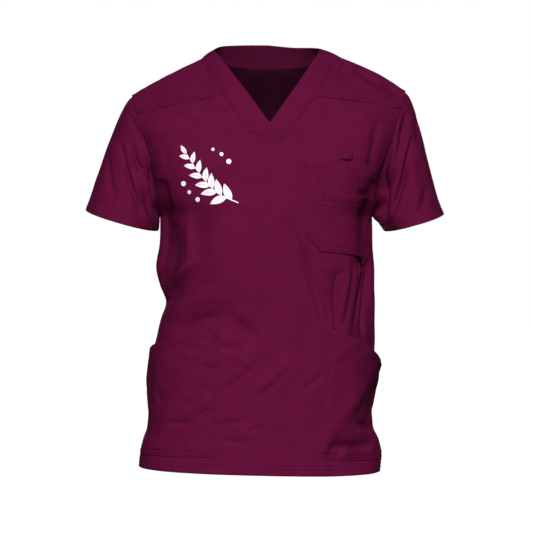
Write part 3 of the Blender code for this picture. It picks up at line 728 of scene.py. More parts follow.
@dataclass
class Half:
    """Half of a front or a back: a smooth surface through its sections, from the hem up.

    u runs from the middle or the neck seam (0) to the side or the armhole seam (1), and t is
    the distance from the hem up the half's own middle.
    """

    side: Side
    nets: Array
    level_rows: int
    corners: Sequence[tuple[int, int]]
    top_pull: tuple[float, float, float]
    knots: Array = field(init=False)
    arrive: Array = field(init=False)
    leave: Array = field(init=False)

    def __post_init__(self) -> None:
        """Works out the distances and slopes of the surface at its sections."""
        middle = bezier(self.nets, np.full(len(self.nets), 0.5))
        steps = np.linalg.norm(np.diff(middle, axis=0), axis=1)
        steps[: self.level_rows - 1] = np.diff(middle[: self.level_rows, 2])
        self.knots = np.concatenate(([0.0], np.cumsum(steps)))
        step = steps[:, None, None]
        slope = np.diff(self.nets, axis=0) / step
        inner = (slope[:-1] * step[1:] + slope[1:] * step[:-1]) / (step[:-1] + step[1:])
        self.arrive = np.concatenate((slope[:1], inner, slope[-1:]))
        self.arrive[-1] = self.top_pull
        self.leave = self.arrive.copy()
        for row, point in self.corners:
            self.arrive[row, point] = slope[row - 1, point]
            self.leave[row, point] = slope[row, point]

    def points(self, u: Array, t: Array) -> Array:
        """The surface's points.

        Args:
            u: places from the middle to the side.
            t: distances from the hem.

        Returns:
            The points, in millimetres.
        """
        u, t = np.broadcast_arrays(np.asarray(u, float), np.asarray(t, float))
        row = np.clip(np.searchsorted(self.knots, t, side="right") - 1, 0, len(self.knots) - 2)
        step = (self.knots[row + 1] - self.knots[row])[..., None, None]
        part = (t - self.knots[row])[..., None, None] / step
        pulls = step * self.leave[row], step * self.arrive[row + 1]
        net = hermite(part, self.nets[row], pulls[0], self.nets[row + 1], pulls[1])
        found = bezier(net, u)
        fade = np.clip(1 - t / HEM_TILT_HEIGHT, 0, 1) ** 2
        found[..., 2] -= HEM_TILT * fade * found[..., 0]
        return found

    def outward(self, u: Array, t: Array) -> Array:
        """The directions square to the surface, on its outer side.

        Args:
            u: places from the middle to the side.
            t: distances from the hem.

        Returns:
            Directions of length one.
        """
        u = np.clip(u, NEARBY_U, 1 - NEARBY_U)
        t = np.clip(t, NEARBY_T, self.knots[-1] - NEARBY_T)
        across = self.points(u + NEARBY_U, t) - self.points(u - NEARBY_U, t)
        up = self.points(u, t + NEARBY_T) - self.points(u, t - NEARBY_T)
        turn = self.side * math.copysign(1, -self.nets[0, 0, 1])
        return turn * unit(np.cross(across, up))

    def raised(self, u: Array, t: Array, rise: Array) -> tuple[Array, Array]:
        """Cloth that lies over the surface.

        Args:
            u: places from the middle to the side.
            t: distances from the hem.
            rise: how far the cloth is above the surface.

        Returns:
            The cloth's points, and the surface's outward directions there.
        """
        up = self.outward(u, t)
        return self.points(u, t) + rise[..., None] * up, up

    def sections(self, t: Array) -> tuple[Array, Array, Array]:
        """Follows the sections at some distances from the hem.

        Args:
            t: the distances.

        Returns:
            Values of u, the points there, and their distances from the inner end.
        """
        fine = np.linspace(0, 1, FINE)
        line = self.points(*np.meshgrid(fine, t))
        return fine, line, lengths(line, axis=1)

    def places(self, t: Array, spacing: float = SPACING) -> Places:
        """Spreads a row of places over the section at each t.

        Args:
            t: the rows' distances from the hem.
            spacing: about how far apart the columns are.

        Returns:
            The places, a row for each t.
        """
        fine, line, reach = self.sections(t)
        total = reach[:, -1:]
        middle = total - NEAR[-1] - FAR[-1]
        count = max(2, round(float(np.median(middle)) / spacing))
        inner = NEAR[-1] + np.linspace(0, 1, count + 1)[1:-1] * middle
        first = np.broadcast_to(np.array(NEAR), (len(t), len(NEAR)))
        from_near = np.concatenate((first, inner, total - np.array(FAR)[::-1]), axis=1)
        u = np.stack([np.interp(d, r, fine) for d, r in zip(from_near, reach)])
        rows = np.broadcast_to(np.asarray(t)[:, None], u.shape)
        across = line[:, :1, 0] + self.side * from_near
        return Places(u, rows, from_near, total - from_near, across, self.points(u, rows)[..., 2])

    def at(self, across: Array, t: Array) -> tuple[Array, Array]:
        """Where the cloth is at given distances along it.

        Args:
            across: distances from the middle of the front.
            t: distances from the hem.

        Returns:
            u at each place, and the places' distances from the inner end.
        """
        fine, line, reach = self.sections(t)
        near = np.abs(across - line[:, 0, 0])
        return np.array([np.interp(d, r, fine) for d, r in zip(near, reach)]), near

    def across(self, u: Array, t: Array) -> Array:
        """How far along the cloth places on it are from the middle of the front.

        Args:
            u: the places from the middle to the side.
            t: their distances from the hem.

        Returns:
            The distances.
        """
        fine, line, reach = self.sections(t.ravel())
        near = np.array([np.interp(place, fine, r) for place, r in zip(u.ravel(), reach)])
        return (line[:, 0, 0] + self.side * near).reshape(u.shape)

    def find_u(self, x: Array, t: Array) -> Array:
        """Where along their sections the surface reaches some distances sideways.

        Args:
            x: the distances from the middle.
            t: the sections' distances from the hem.

        Returns:
            u at each of them.
        """
        fine = np.linspace(0, 1, FINE)
        reach = np.abs(self.points(*np.meshgrid(fine, t))[..., 0])
        return np.array([np.interp(value, row, fine) for value, row in zip(x, reach)])


def level_net(side: Side, section: Section, depth: float, start: float) -> list:
    """A level section's control points, from beside the middle to the side seam.

    Args:
        side: the half that it belongs to.
        section: the section.
        depth: its y in the middle.
        start: how far from the middle it starts.

    Returns:
        Four control points.
    """
    reach = section.left if side < 0 else section.right
    lead = start + section.fullness * (reach - start)
    trail = section.fullness * depth
    places = ((start, depth), (lead, depth), (reach, trail), (reach, 0))
    return [(side * x, y, section.z) for x, y in places]


def edge_net(side: Side, edge: Edge) -> Array:
    """An upper section's control points, from the neck seam to the armhole seam.

    Args:
        side: the half that it belongs to.
        edge: its two ends.

    Returns:
        Four control points.
    """
    start = np.array((edge.neck_x, edge.neck_y, edge.neck_z))
    end = np.array((edge.arm_x, edge.arm_y, edge.arm_z))
    length = np.linalg.norm((end - start)[:2])
    back = math.copysign(1, end[1] - start[1])
    slope = (end[2] - start[2]) / length
    first, last = math.radians(edge.start), math.radians(edge.turn)
    lead = np.array((math.cos(first), back * math.sin(first), slope)) * LEAD * length
    trail = np.array((math.cos(last), back * math.sin(last), slope)) * TRAIL * length
    net = np.array((start, start + lead, end - trail, end))
    net[:, 0] *= side
    return net


def make_half(side: Side, edges: Sequence[Edge], front: bool) -> Half:
    """The smooth surface of one half of the front or of the back.

    Args:
        side: which half.
        edges: its upper sections.
        front: whether it is a half of the front.

    Returns:
        The surface.
    """
    start = edges[0].neck_x
    nets = [level_net(side, s, -s.front if front else s.back, start) for s in SECTIONS]
    nets += [edge_net(side, e) for e in edges]
    nets = np.array(nets, float)
    nets[-1, 1:3, 2] += RIDGE_ARCH[side]
    nets[-2, 1:3, 2] += NEXT_ARCH * RIDGE_ARCH[side]
    body = len(SECTIONS)
    if front:
        corners = ((body - 1, 3), (body + LEVEL_EDGES - 1, 0))
        return Half(side, nets, body + LEVEL_EDGES, corners, (0, 1, RIDGE_LEAN))
    corners = ((body - 1, 3), (body + BACK_NECK, 0))
    return Half(side, nets, body, corners, (0, -1, RIDGE_LEAN))


@dataclass
class Form:
    """The smooth form that all the pieces lie on."""

    fronts: dict[Side, Half] = field(init=False)
    backs: dict[Side, Half] = field(init=False)

    def __post_init__(self) -> None:
        """Builds the four halves."""
        self.fronts = {s: make_half(s, FRONT_EDGES[s], True) for s in Side}
        self.backs = {s: make_half(s, BACK_EDGES[s], False) for s in Side}

    def yoke_seam(self, side: Side) -> float:
        """How far up the front the yoke seam is."""
        return self.fronts[side].knots[len(SECTIONS) + YOKE_SEAM]

    def back_neck(self, side: Side) -> float:
        """How far up the back the middle of the neck seam is."""
        return self.backs[side].knots[len(SECTIONS) + BACK_NECK]


def grid_normals(grid: Array, closed: bool = False) -> Array:
    """The directions square to a grid of points, for rows going up and columns going round.

    Args:
        grid: points, (rows, columns, 3).
        closed: whether the last column is next to the first.

    Returns:
        Directions of length one. They point out where the columns run anticlockwise.
    """
    if closed:
        around = np.roll(grid, -1, axis=1) - np.roll(grid, 1, axis=1)
    else:
        around = np.gradient(grid, axis=1)
    return unit(np.cross(around, np.gradient(grid, axis=0)))


def grid_quads(ids: Array) -> Array:
    """The faces between the rows and columns of a grid of numbered points."""
    corners = (ids[:-1, :-1], ids[:-1, 1:], ids[1:, 1:], ids[1:, :-1])
    return np.stack(corners, axis=-1).reshape(-1, 4)


def quad_normals(points: Array, quads: Array) -> Array:
    """The directions square to some faces, not brought to a length of one."""
    corner = points[quads]
    return np.cross(corner[:, 2] - corner[:, 0], corner[:, 3] - corner[:, 1])


def add_object(name: str, data: bpy.types.ID) -> bpy.types.Object:
    """Makes an object in the scene.

    Args:
        name: its name.
        data: its mesh, light or camera.

    Returns:
        The object.
    """
    made = bpy.data.objects.new(name, data)
    bpy.context.scene.collection.objects.link(made)
    return made


def add_mesh(name: str, points: Array, faces: Array, finishes: Sequence) -> bpy.types.Object:
    """Makes a smooth mesh and its object.

    Args:
        name: the name of both.
        points: its points, in millimetres.
        faces: its faces.
        finishes: its materials.

    Returns:
        The object, in the scene.
    """
    mesh = bpy.data.meshes.new(name)
    mesh.from_pydata(points * MM, [], faces)
    mesh.update()
    for finish in finishes:
        mesh.materials.append(finish)
    mesh.shade_smooth()
    return add_object(name, mesh)


@dataclass
class Sheet:
    """A cut piece of cloth: grids of outer points, thickened inwards and closed round its rim.

    Its name is that of the solid that it stands for.
    """

    name: str
    points: list[Array] = field(default_factory=list)
    cloth: list[Array] = field(default_factory=list)
    depths: list[Array] = field(default_factory=list)
    quads: list[Array] = field(default_factory=list)
    count: int = 0
    weld: float = 0.02
    rim_bulge: float = 0.4

    def add(
        self,
        grid: Array,
        across: Array,
        up: Array,
        flip: bool = False,
        closed: bool = False,
        depth: Array | float = CLOTH,
    ) -> None:
        """Adds a grid of outer points.

        Args:
            grid: points, (rows, columns, 3).
            across: their places along the weft.
            up: their places along the warp.
            flip: whether its columns run clockwise, seen from outside.
            closed: whether its last column joins its first.
            depth: how thick the cloth is there.
        """
        rows, columns = grid.shape[:2]
        ids = self.count + np.arange(rows * columns).reshape(rows, columns)
        if closed:
            ids = np.concatenate((ids, ids[:, :1]), axis=1)
        quads = grid_quads(ids)
        self.quads.append(quads[:, ::-1] if flip else quads)
        self.points.append(grid.reshape(-1, 3))
        places = np.stack(np.broadcast_arrays(across, up), axis=-1)
        self.cloth.append(np.broadcast_to(places, (rows, columns, 2)).reshape(-1, 2))
        self.depths.append(np.broadcast_to(depth, (rows, columns)).reshape(-1))
        self.count += rows * columns

    def build(self, finishes: Sequence[bpy.types.Material]) -> bpy.types.Object:
        """Makes the mesh and its object.

        Args:
            finishes: the materials of its outside and of its inner face, whose darker cloth is
                painted shade.

        Returns:
            The object, in the scene.
        """
        points, cloth = np.concatenate(self.points), np.concatenate(self.cloth)
        depth, quads = np.concatenate(self.depths)[:, None], np.concatenate(self.quads)
        keys = np.round(points / self.weld).astype(np.int64)
        _, first, index = np.unique(keys, axis=0, return_index=True, return_inverse=True)
        points, cloth, depth = points[first], cloth[first], depth[first]
        quads = index.ravel()[quads]
        normals = np.zeros_like(points)
        facing = quad_normals(points, quads)
        for i in range(4):
            np.add.at(normals, quads[:, i], facing)
        normals = unit(normals)
        start, end = quads.ravel(), np.roll(quads, -1, axis=1).ravel()
        total = len(points)
        open_edge = ~np.isin(start * total + end, end * total + start)
        start, end = start[open_edge], end[open_edge]
        aside = np.zeros_like(points)
        away = unit(np.cross(points[end] - points[start], normals[start] + normals[end]))
        np.add.at(aside, start, away)
        np.add.at(aside, end, away)
        inner = points - depth * normals
        rim = np.unique(start)
        middle = (points[rim] + inner[rim]) / 2 + self.rim_bulge * depth[rim] * unit(aside[rim])
        slot = np.zeros(total, np.int64)
        slot[rim] = 2 * total + np.arange(len(rim))
        band = np.stack((end, start, slot[start], slot[end]), axis=1)
        under = np.stack((slot[end], slot[start], start + total, end + total), axis=1)
        faces = np.concatenate((quads, band, under, quads[:, ::-1] + total))
        sides = np.zeros(len(faces), np.int32)
        # The inner faces take the second material, a darker cloth that is painted shade.
        sides[len(quads) + len(band) :] = Face.REVERSE
        every = np.concatenate((points, inner, middle))
        made = add_mesh(f"{self.name}_cloth", every, faces, finishes)
        weave = made.data.uv_layers.new(name="weave")
        places = np.concatenate((cloth, cloth, cloth[rim])) * MM
        weave.data.foreach_set("uv", places[faces.ravel()].ravel())
        made.data.polygons.foreach_set("material_index", sides)
        return made


@dataclass
class ThreadWork:
    """Sewing thread on a piece: runs of single stitches, and bars of stitches side by side.

    The thread is 0.5 mm thick, more than a real one, so that it shows. Each ring of a stitch
    has a place along it, a size and a rise in radii.
    """

    name: str
    lead: float = 0.4  # the bare start of a line
    pitch: float = 3.4
    stitch: float = 2.5
    radius: float = 0.25
    bar_pitch: float = 0.8
    rings: tuple[tuple[float, float, float], ...] = (
        (0.0, 0.5, -0.25),
        (0.22, 1.0, 0.2),
        (0.78, 1.0, 0.2),
        (1.0, 0.5, -0.25),
    )
    starts: list[Array] = field(default_factory=list)
    ends: list[Array] = field(default_factory=list)
    ups: list[Array] = field(default_factory=list)

    def run(self, line: Array, ups: Array) -> None:
        """Sews a run of stitches.

        Args:
            line: the points that it follows.
            ups: the cloth's outward directions there.
        """
        place = lengths(line)
        first = np.arange(self.lead, place[-1] - self.stitch, self.pitch)
        self.starts.append(resampled(place, first, line))
        self.ends.append(resampled(place, first + self.stitch, line))
        self.ups.append(resampled(place, first + self.stitch / 2, ups))

    def bar(self, line: Array, ups: Array, width: float) -> None:
        """Sews a bar tack: short stitches side by side along a line.

        Args:
            line: the points that it follows.
            ups: the cloth's outward directions there.
            width: how long each stitch is.
        """
        place = lengths(line)
        where = np.arange(0, place[-1], self.bar_pitch)
        middle, up = resampled(place, where, line), resampled(place, where, ups)
        aside = unit(np.cross(up, unit(line[-1] - line[0])))
        self.starts.append(middle - aside * width / 2)
        self.ends.append(middle + aside * width / 2)
        self.ups.append(up)

    def build(self, finish: bpy.types.Material) -> bpy.types.Object:
        """Makes the mesh of all the stitches, and its object.

        Args:
            finish: the thread's material.

        Returns:
            The object, in the scene.
        """
        start, end = np.concatenate(self.starts), np.concatenate(self.ends)
        up = unit(np.concatenate(self.ups))
        run = unit(end - start)
        aside = unit(np.cross(up, run))
        up = np.cross(run, aside)
        points = []
        for part, size, rise in self.rings:
            for angle in (0.0, math.pi / 2, math.pi, math.pi * 1.5):
                lift = self.radius * (rise + size * math.sin(angle))
                spread = self.radius * size * math.cos(angle)
                points.append(start + part * (end - start) + lift * up + spread * aside)
        points = np.stack(points, axis=1)
        faces = [(3, 2, 1, 0), (12, 13, 14, 15)]
        for ring in range(0, 12, 4):
            for i in range(4):
                j = (i + 1) % 4
                faces.append((ring + i, ring + j, ring + 4 + j, ring + 4 + i))
        numbers = np.arange(len(points))[:, None, None] * points.shape[1]
        faces = (np.array(faces)[None] + numbers).reshape(-1, 4)
        return add_mesh(f"{self.name}_stitches", points.reshape(-1, 3), faces, (finish,))


@dataclass(frozen=True)
class Cut:
    """The flat shape of a piece before it was sewn: a rectangle and the share that is used."""

    width: float
    length: float
    share: float = 1.0


@dataclass(frozen=True)
class Finishes:
    """The materials that the pieces are dressed in."""

    outside: bpy.types.Material
    # The darker cloth of the sheets' inner faces: painted shade.
    reverse: bpy.types.Material
    # The darker cloth of the neckband's inner face: painted shade.
    inside: bpy.types.Material
    # Thread darker than the cloth, partly painted shade of the stitch dents.
    thread: bpy.types.Material
    ink: bpy.types.Material

    def cloth(self) -> tuple[bpy.types.Material, bpy.types.Material]:
        """The two sides of the cloth, in the order of a sheet's slots."""
        return self.outside, self.reverse


def hang(piece: bpy.types.Object, nodes: Sequence[str], threads: Sequence = ()) -> None:
    """Declares a sheet with its stitches, and puts it in its nodes' place.

    Args:
        piece: the sheet's object.
        nodes: the solids that it stands for.
        threads: the objects that are sewn into it.
    """
    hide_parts(*nodes)
    for made in (piece, *threads):
        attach(made, "root")
    LOG.info("%s: %d faces", piece.name, len(piece.data.polygons))


@dataclass
class FrontPanel:
    """The body's front: one piece, cut out for the V neck, from the hem to the yoke seams."""

    form: Form
    cut: Cut = Cut(560, 640, 0.8)
    strip_columns: int = 10
    spacing: float = 2.6

    def levels(self, side: Side) -> Array:
        """The rows of one half.

        Args:
            side: the half.

        Returns:
            Their distances from the hem.
        """
        stops = (0.0, ARMPIT_UP, BASE_UP, self.form.yoke_seam(side))
        return spaced(stops, (*HEM_STITCHES, HEM_TURN))

    def relief(self, side: Side, p: Places) -> Array:
        """The rise of the cloth over the smooth form.

        Args:
            side: the half.
            p: the places on it.

        Returns:
            The rise at each place.
        """
        creases = (*FRONT_CREASES, *HIP_LEFT_FOLDS, *HIP_RIGHT_FOLDS, *CHEST_FOLDS)
        rise = folded(FRONT_FOLDS, p.across, p.z) + DRAPE * folded(creases, p.across, p.z)
        rise = rise * seam_fade(p.u)
        rise += UNEVEN * crumple(p.across, p.z, 52, Draw.FRONT_DENTS)
        rise += hem_relief(p, Draw.FRONT_HEM)
        rise += above_armpit(p.z) * armhole_relief(p, Draw.FRONT_ARMHOLE + side)
        to_yoke = self.form.yoke_seam(side) - p.t
        rise -= SEAM_SINK * near_line(to_yoke, 2)
        rise += puckers(0.4, p.across, Draw.FRONT_TOP + side, (10, 34), to_yoke, 9)
        beside_neck = step_up(p.z - BASE_LEVEL + 10, 6)
        rise -= SEAM_SINK * near_line(p.near, 2) * beside_neck
        pucker = puckers(0.4, p.t, Draw.FRONT_NECK + side, (11, 37), p.near, 10)
        return rise + pucker * beside_neck

    def build(self, finishes: Finishes) -> bpy.types.Object:
        """Makes the front and its stitches.

        Args:
            finishes: the materials.

        Returns:
            The front's object.
        """
        sheet, thread = Sheet("front"), ThreadWork("front")
        grids, ups = {}, {}
        for side in Side:
            half = self.form.fronts[side]
            t = self.levels(side)
            p = half.places(t, self.spacing)
            grids[side], ups[side] = half.raised(p.u, p.t, self.relief(side, p))
            sheet.add(grids[side], p.across, p.t, flip=side < 0)
            rows = slice(row_at(t, ARMPIT_UP) + 1, None)
            thread.run(grids[side][rows, ARMHOLE_COLUMN], ups[side][rows, ARMHOLE_COLUMN])
        t = self.levels(Side.LEFT)
        count = row_at(t, BASE_UP) + 1
        t = t[:count]
        share = np.linspace(0, 1, self.strip_columns + 1)[:, None]
        zero = np.zeros(count)
        ends = [self.form.fronts[side].raised(zero, t, zero) for side in Side]
        strip, strip_up = (low[:, None] + share * (high - low)[:, None] for low, high in zip(*ends))
        rows = np.broadcast_to(t[:, None], strip.shape[:2])
        zero = np.zeros(strip.shape[:2])
        places = Places(zero, rows, zero, zero + FAR_OFF, strip[..., 0], strip[..., 2])
        strip = strip + self.relief(Side.LEFT, places)[..., None] * strip_up
        strip[:, 0], strip[:, -1] = grids[Side.LEFT][:count, 0], grids[Side.RIGHT][:count, 0]
        sheet.add(strip, strip[..., 0], rows)
        for stitches in HEM_STITCHES:
            row = row_at(t, stitches)
            line = (grids[Side.LEFT][row, :0:-1], strip[row], grids[Side.RIGHT][row, 1:])
            over = (ups[Side.LEFT][row, :0:-1], strip_up[row], ups[Side.RIGHT][row, 1:])
            thread.run(np.concatenate(line), np.concatenate(over))
        piece = sheet.build(finishes.cloth())
        hang(piece, ("front",), (thread.build(finishes.thread),))
        return piece


@dataclass
class YokePanel:
    """A yoke: the upper part of the front on one side, lapped over the front's top edge."""

    form: Form
    side: Side
    cut: Cut = Cut(170, 125, 0.75)
    lap: float = 1.5
    rows: tuple[float, ...] = (2.0, 7.5)

    def relief(self, p: Places, seam: float, top: float) -> Array:
        """The rise of the cloth over the smooth form.

        Args:
            p: the places.
            seam: how far up the yoke seam is.
            top: how far up the shoulder seam is.

        Returns:
            The rise at each place.
        """
        side = self.side
        rise = DRAPE * folded(YOKE_FOLDS[side], p.across, p.z) * seam_fade(p.u)
        rise += UNEVEN * crumple(p.across, p.z, 44, Draw.YOKE_DENTS)
        up = p.t - seam
        rise += 0.35 + 0.6 * (1 - step_up(up - self.rows[-1] - 2, 1.5)) + grooves(up, self.rows)
        rise += puckers(0.5, p.across, Draw.YOKE_LOW + side, (9, 30), up - 3, 11)
        rise += armhole_relief(p, Draw.YOKE_ARMHOLE + side, 0.5, 10)
        rise -= 0.6 * near_line(p.near, 2) + 0.5 * near_line(top - p.t, 2.2)
        return rise + puckers(0.5, p.t, Draw.YOKE_NECK + side, (10, 33), p.near, 12)

    def build(self, finishes: Finishes) -> bpy.types.Object:
        """Makes the yoke and its stitches.

        Args:
            finishes: the materials.

        Returns:
            The yoke's object.
        """
        name = f"yoke_{self.side.name.lower()}"
        half = self.form.fronts[self.side]
        seam, top = self.form.yoke_seam(self.side), half.knots[-1]
        t = spaced((seam - self.lap, top), [seam + row for row in self.rows], 2.9)
        p = half.places(t)
        grid, up = half.raised(p.u, p.t, self.relief(p, seam, top))
        sheet, thread = Sheet(name), ThreadWork(name)
        sheet.add(grid, p.across, p.t, flip=self.side < 0)
        for stitches in self.rows:
            row = row_at(t, seam + stitches)
            thread.run(grid[row], up[row])
        thread.run(grid[:, ARMHOLE_COLUMN], up[:, ARMHOLE_COLUMN])
        piece = sheet.build(finishes.cloth())
        hang(piece, (name,), (thread.build(finishes.thread),))
        return piece


@dataclass
class BackPanel:
    """The back: one piece, from the hem to the shoulder seams and the back neck."""

    form: Form
    cut: Cut = Cut(560, 730, 0.85)
    spacing: float = 3.6

    def levels(self, side: Side) -> Array:
        """The rows of one half.

        Args:
            side: the half.

        Returns:
            Their distances from the hem.
        """
        top = self.form.backs[side].knots[-1]
        stops = (0.0, ARMPIT_UP, self.form.back_neck(side), top)
        return spaced(stops, (*HEM_STITCHES, HEM_TURN), self.spacing)

    def relief(self, side: Side, p: Places) -> Array:
        """The rise of the cloth over the smooth form.

        Args:
            side: the half.
            p: the places on it.

        Returns:
            The rise at each place.
        """
        rise = folded(BACK_FOLDS, p.across, p.z) + folded(BACK_CREASES, p.across, p.z)
        rise = rise * seam_fade(p.u)
        rise += UNEVEN * crumple(p.across, p.z, 60, Draw.BACK_DENTS)
        rise += hem_relief(p, Draw.BACK_HEM)
        above = above_armpit(p.z)
        rise += above * armhole_relief(p, Draw.BACK_ARMHOLE + side)
        rise -= 0.4 * (1 - above) * near_line(p.far, 3)
        to_shoulder = self.form.backs[side].knots[-1] - p.t
        rise -= 0.2 * near_line(to_shoulder, 2)
        beside_neck = step_up(p.t - self.form.back_neck(side) - 2, 2)
        rise -= SEAM_SINK * near_line(p.near, 2) * beside_neck
        return rise

    def build(self, finishes: Finishes) -> bpy.types.Object:
        """Makes the back and its stitches.

        Args:
            finishes: the materials.

        Returns:
            The back's object.
        """
        sheet, thread = Sheet("back"), ThreadWork("back")
        grids, ups, places = {}, {}, {}
        for side in Side:
            half, t = self.form.backs[side], self.levels(side)
            p = half.places(t)
            grids[side], ups[side] = half.raised(p.u, p.t, self.relief(side, p))
            places[side] = p
            rows = slice(row_at(t, ARMPIT_UP) + 1, None)
            thread.run(grids[side][rows, ARMHOLE_COLUMN], ups[side][rows, ARMHOLE_COLUMN])
        t = self.levels(Side.LEFT)
        below = row_at(t, self.form.back_neck(Side.LEFT)) + 1
        middle = (grids[Side.LEFT][:below, 0] + grids[Side.RIGHT][:below, 0]) / 2
        for side, p in places.items():
            grids[side][:below, 0] = middle
            sheet.add(grids[side], p.across, p.t, flip=side > 0)
        for stitches in HEM_STITCHES:
            row = row_at(t, stitches)
            line = (grids[Side.LEFT][row, :0:-1], grids[Side.RIGHT][row])
            over = (ups[Side.LEFT][row, :0:-1], ups[Side.RIGHT][row])
            thread.run(np.concatenate(line), np.concatenate(over))
        piece = sheet.build(finishes.cloth())
        hang(piece, ("back",), (thread.build(finishes.thread),))
        return piece


@dataclass
class Sleeve:
    """A short sleeve: a tube from the armhole seam to the cuff, sewn together below."""

    form: Form
    side: Side
    cut: Cut = Cut(400, 215, 0.75)
    columns: int = 75
    rows: int = 64
    crowding: float = 1.4  # how much closer the rows are beside the armhole
    hem: tuple[float, ...] = (0.0, 2.2, 5.0, 8.0, 9.1, 10.0, 10.9, 11.8, 12.7, 13.8, 15.5, 18.0)
    stitches: float = 10.9
    turn: float = 14.5
    least_length: float = 40.0
    tuck: float = 1.3
    allowance: float = 3.0
    valley: tuple[float, float] = (15.0, 3.0)  # the dip beside the armhole: depth, spread
    valley_middle: float = 140.0

    def armhole(self) -> tuple[Array, Array, Array]:
        """The armhole seam, from its top down the front and up the back.

        Returns:
            Its points, the body's outward directions there, and its angles from the top.
        """
        points, outward, angles = [], [], []
        armpit = ARMPIT_UP
        for start, half in ((0, self.form.fronts[self.side]), (1, self.form.backs[self.side])):
            ends = (half.knots[-1], armpit)
            t = np.linspace(ends[start], ends[1 - start], 240)
            line, out = half.points(np.ones(len(t)), t), half.outward(np.ones(len(t)), t)
            place = lengths(line)
            where = np.linspace(0, place[-1], self.columns + 1)[:-1]
            points.append(resampled(place, where, line))
            outward.append(resampled(place, where, out))
            angles.append(math.pi * (start + where / place[-1]))
        return np.concatenate(points), np.concatenate(outward), np.concatenate(angles)

    def surface(self) -> tuple[Array, Array, Array, Array]:
        """The smooth tube.

        Returns:
            Its points, their distances from the armhole and from the cuff, and their angles.
        """
        side, cuff = self.side, CUFFS[self.side]
        ring, body_out, angles = self.armhole()
        turn = angles[:, None]
        outer = np.array((side * cuff.outer_x, cuff.middle_y, cuff.outer_z))
        inner = np.array((side * cuff.inner_x, cuff.middle_y, cuff.inner_z))
        centre, reach = (outer + inner) / 2, (outer - inner) / 2
        end = centre + np.cos(turn) * reach + np.sin(turn) * np.array((0, -cuff.half_depth, 0))
        end[:, 2:] -= CUFF_SAG * np.abs(np.sin(turn))
        top = (1 + np.cos(turn)) / 2
        from_top = np.array((side, 0, -SHOULDER_SLOPE))
        from_armpit = np.array((side * ARMPIT_SPREAD, 0, -1))
        leave = unit(top * from_top + (1 - top) * from_armpit)
        axis = unit(np.array((-side * reach[2], 0, side * reach[0])))
        axis = axis * -math.copysign(1, axis[2]) + np.array((side * cuff.flare, 0, 0))
        ring = ring - self.tuck * body_out
        length = np.linalg.norm(end - ring, axis=1, keepdims=True)
        pulls = cuff.leave * length * leave, cuff.arrive * length * axis
        fine = np.linspace(0, 1, FINE)
        line = hermite(fine[:, None, None], ring, pulls[0], end, pulls[1])
        place = lengths(line)
        total = place[-1]
        from_cuff = np.array(self.hem)[:, None] * np.minimum(1, total / self.least_length)
        rest = np.linspace(0, 1, self.rows - len(self.hem) + 1)[:-1, None] ** self.crowding
        where = np.concatenate((rest * (total - from_cuff[-1]), (total - from_cuff)[::-1]))
        parts = np.stack([np.interp(w, p, fine) for w, p in zip(where.T, place.T)], axis=1)
        grid = hermite(parts[..., None], ring, pulls[0], end, pulls[1])
        # One more row lies under the body's cloth, so that no gap shows beside the seam.
        grid = np.concatenate((grid[:1] - self.allowance * leave, grid))
        where = np.concatenate((where[:1], where))
        return grid, where, total - where, np.broadcast_to(angles, where.shape)

    def build(self, finishes: Finishes) -> bpy.types.Object:
        """Makes the sleeve and its stitches.

        Args:
            finishes: the materials.

        Returns:
            The sleeve's object.
        """
        side, name = self.side, f"sleeve_{self.side.name.lower()}"
        grid, from_seam, to_cuff, angles = self.surface()
        up = side * grid_normals(grid, closed=True)
        share = from_seam / (from_seam + to_cuff)
        turn = np.degrees(angles)
        rise = folded(SLEEVE_FOLDS[side], turn, share * SLEEVE_TURN) * np.sin(math.pi * share)
        around = lengths(grid, axis=1)
        fade = np.minimum(1, (from_seam + to_cuff) / (2 * self.least_length))
        ends = np.minimum(1, from_seam / 5) * np.minimum(1, to_cuff / 14)
        rise += DRAPE * folded(SLEEVE_CREASES[side], turn, share * SLEEVE_TURN) * ends * fade
        rise += fade * UNEVEN * crumple(around, from_seam, 40, Draw.SLEEVE_DENTS + side) * share
        low = near_line(turn - self.valley_middle, 42) * step_up(168 - turn, 9)
        low += 0.5 * near_line(turn - 228, 30) * step_up(turn - 192, 9)
        reach = 2.2 + self.valley[1] * low
        rise -= (1 + self.valley[0] * low) * from_seam / reach * np.exp(1 - from_seam / reach)
        rise += puckers(fade * 0.8, around, Draw.SLEEVE_TOP + side, (11, 34), from_seam - 7, 9)
        rise += fade * 0.45 * (1 - step_up(to_cuff - self.turn, 1.2))
        rise += fade * grooves(to_cuff, (self.stitches,))
        rise += puckers(fade * 0.5, around, Draw.SLEEVE_HEM + side, (9, 36), to_cuff - 12, 12)
        grid = grid + rise[..., None] * up
        sheet, thread = Sheet(name), ThreadWork(name)
        sheet.add(grid, around, from_seam, flip=side < 0, closed=True)
        row = -1 - self.hem.index(self.stitches)
        thread.run(np.roll(grid[row], self.columns, axis=0), np.roll(up[row], self.columns, axis=0))
        piece = sheet.build(finishes.cloth())
        hang(piece, (name,), (thread.build(finishes.thread),))
        return piece


def laid_on(grid: Array, up: Array, x: Array, z: Array) -> tuple[Array, Array]:
    """Lays a line, drawn as it is seen from the front, on the front of a surface.

    Args:
        grid: the surface's points.
        up: its outward directions.
        x: the line's places sideways.
        z: its heights.

    Returns:
        The line's points on the surface, and the outward directions there.
    """
    front = up[..., 1] < 0
    points, directions = grid[front], up[front]
    off = (points[:, 0] - x[:, None]) ** 2 + (points[:, 2] - z[:, None]) ** 2
    near = np.argsort(off, axis=1)[:, :6]
    weight = 1 / (np.take_along_axis(off, near, axis=1) + 0.05)
    weight = (weight / weight.sum(axis=1, keepdims=True))[..., None]
    found = (points[near] * weight).sum(axis=1)
    found[:, 0], found[:, 2] = x, z
    return found, unit((directions[near] * weight).sum(axis=1))


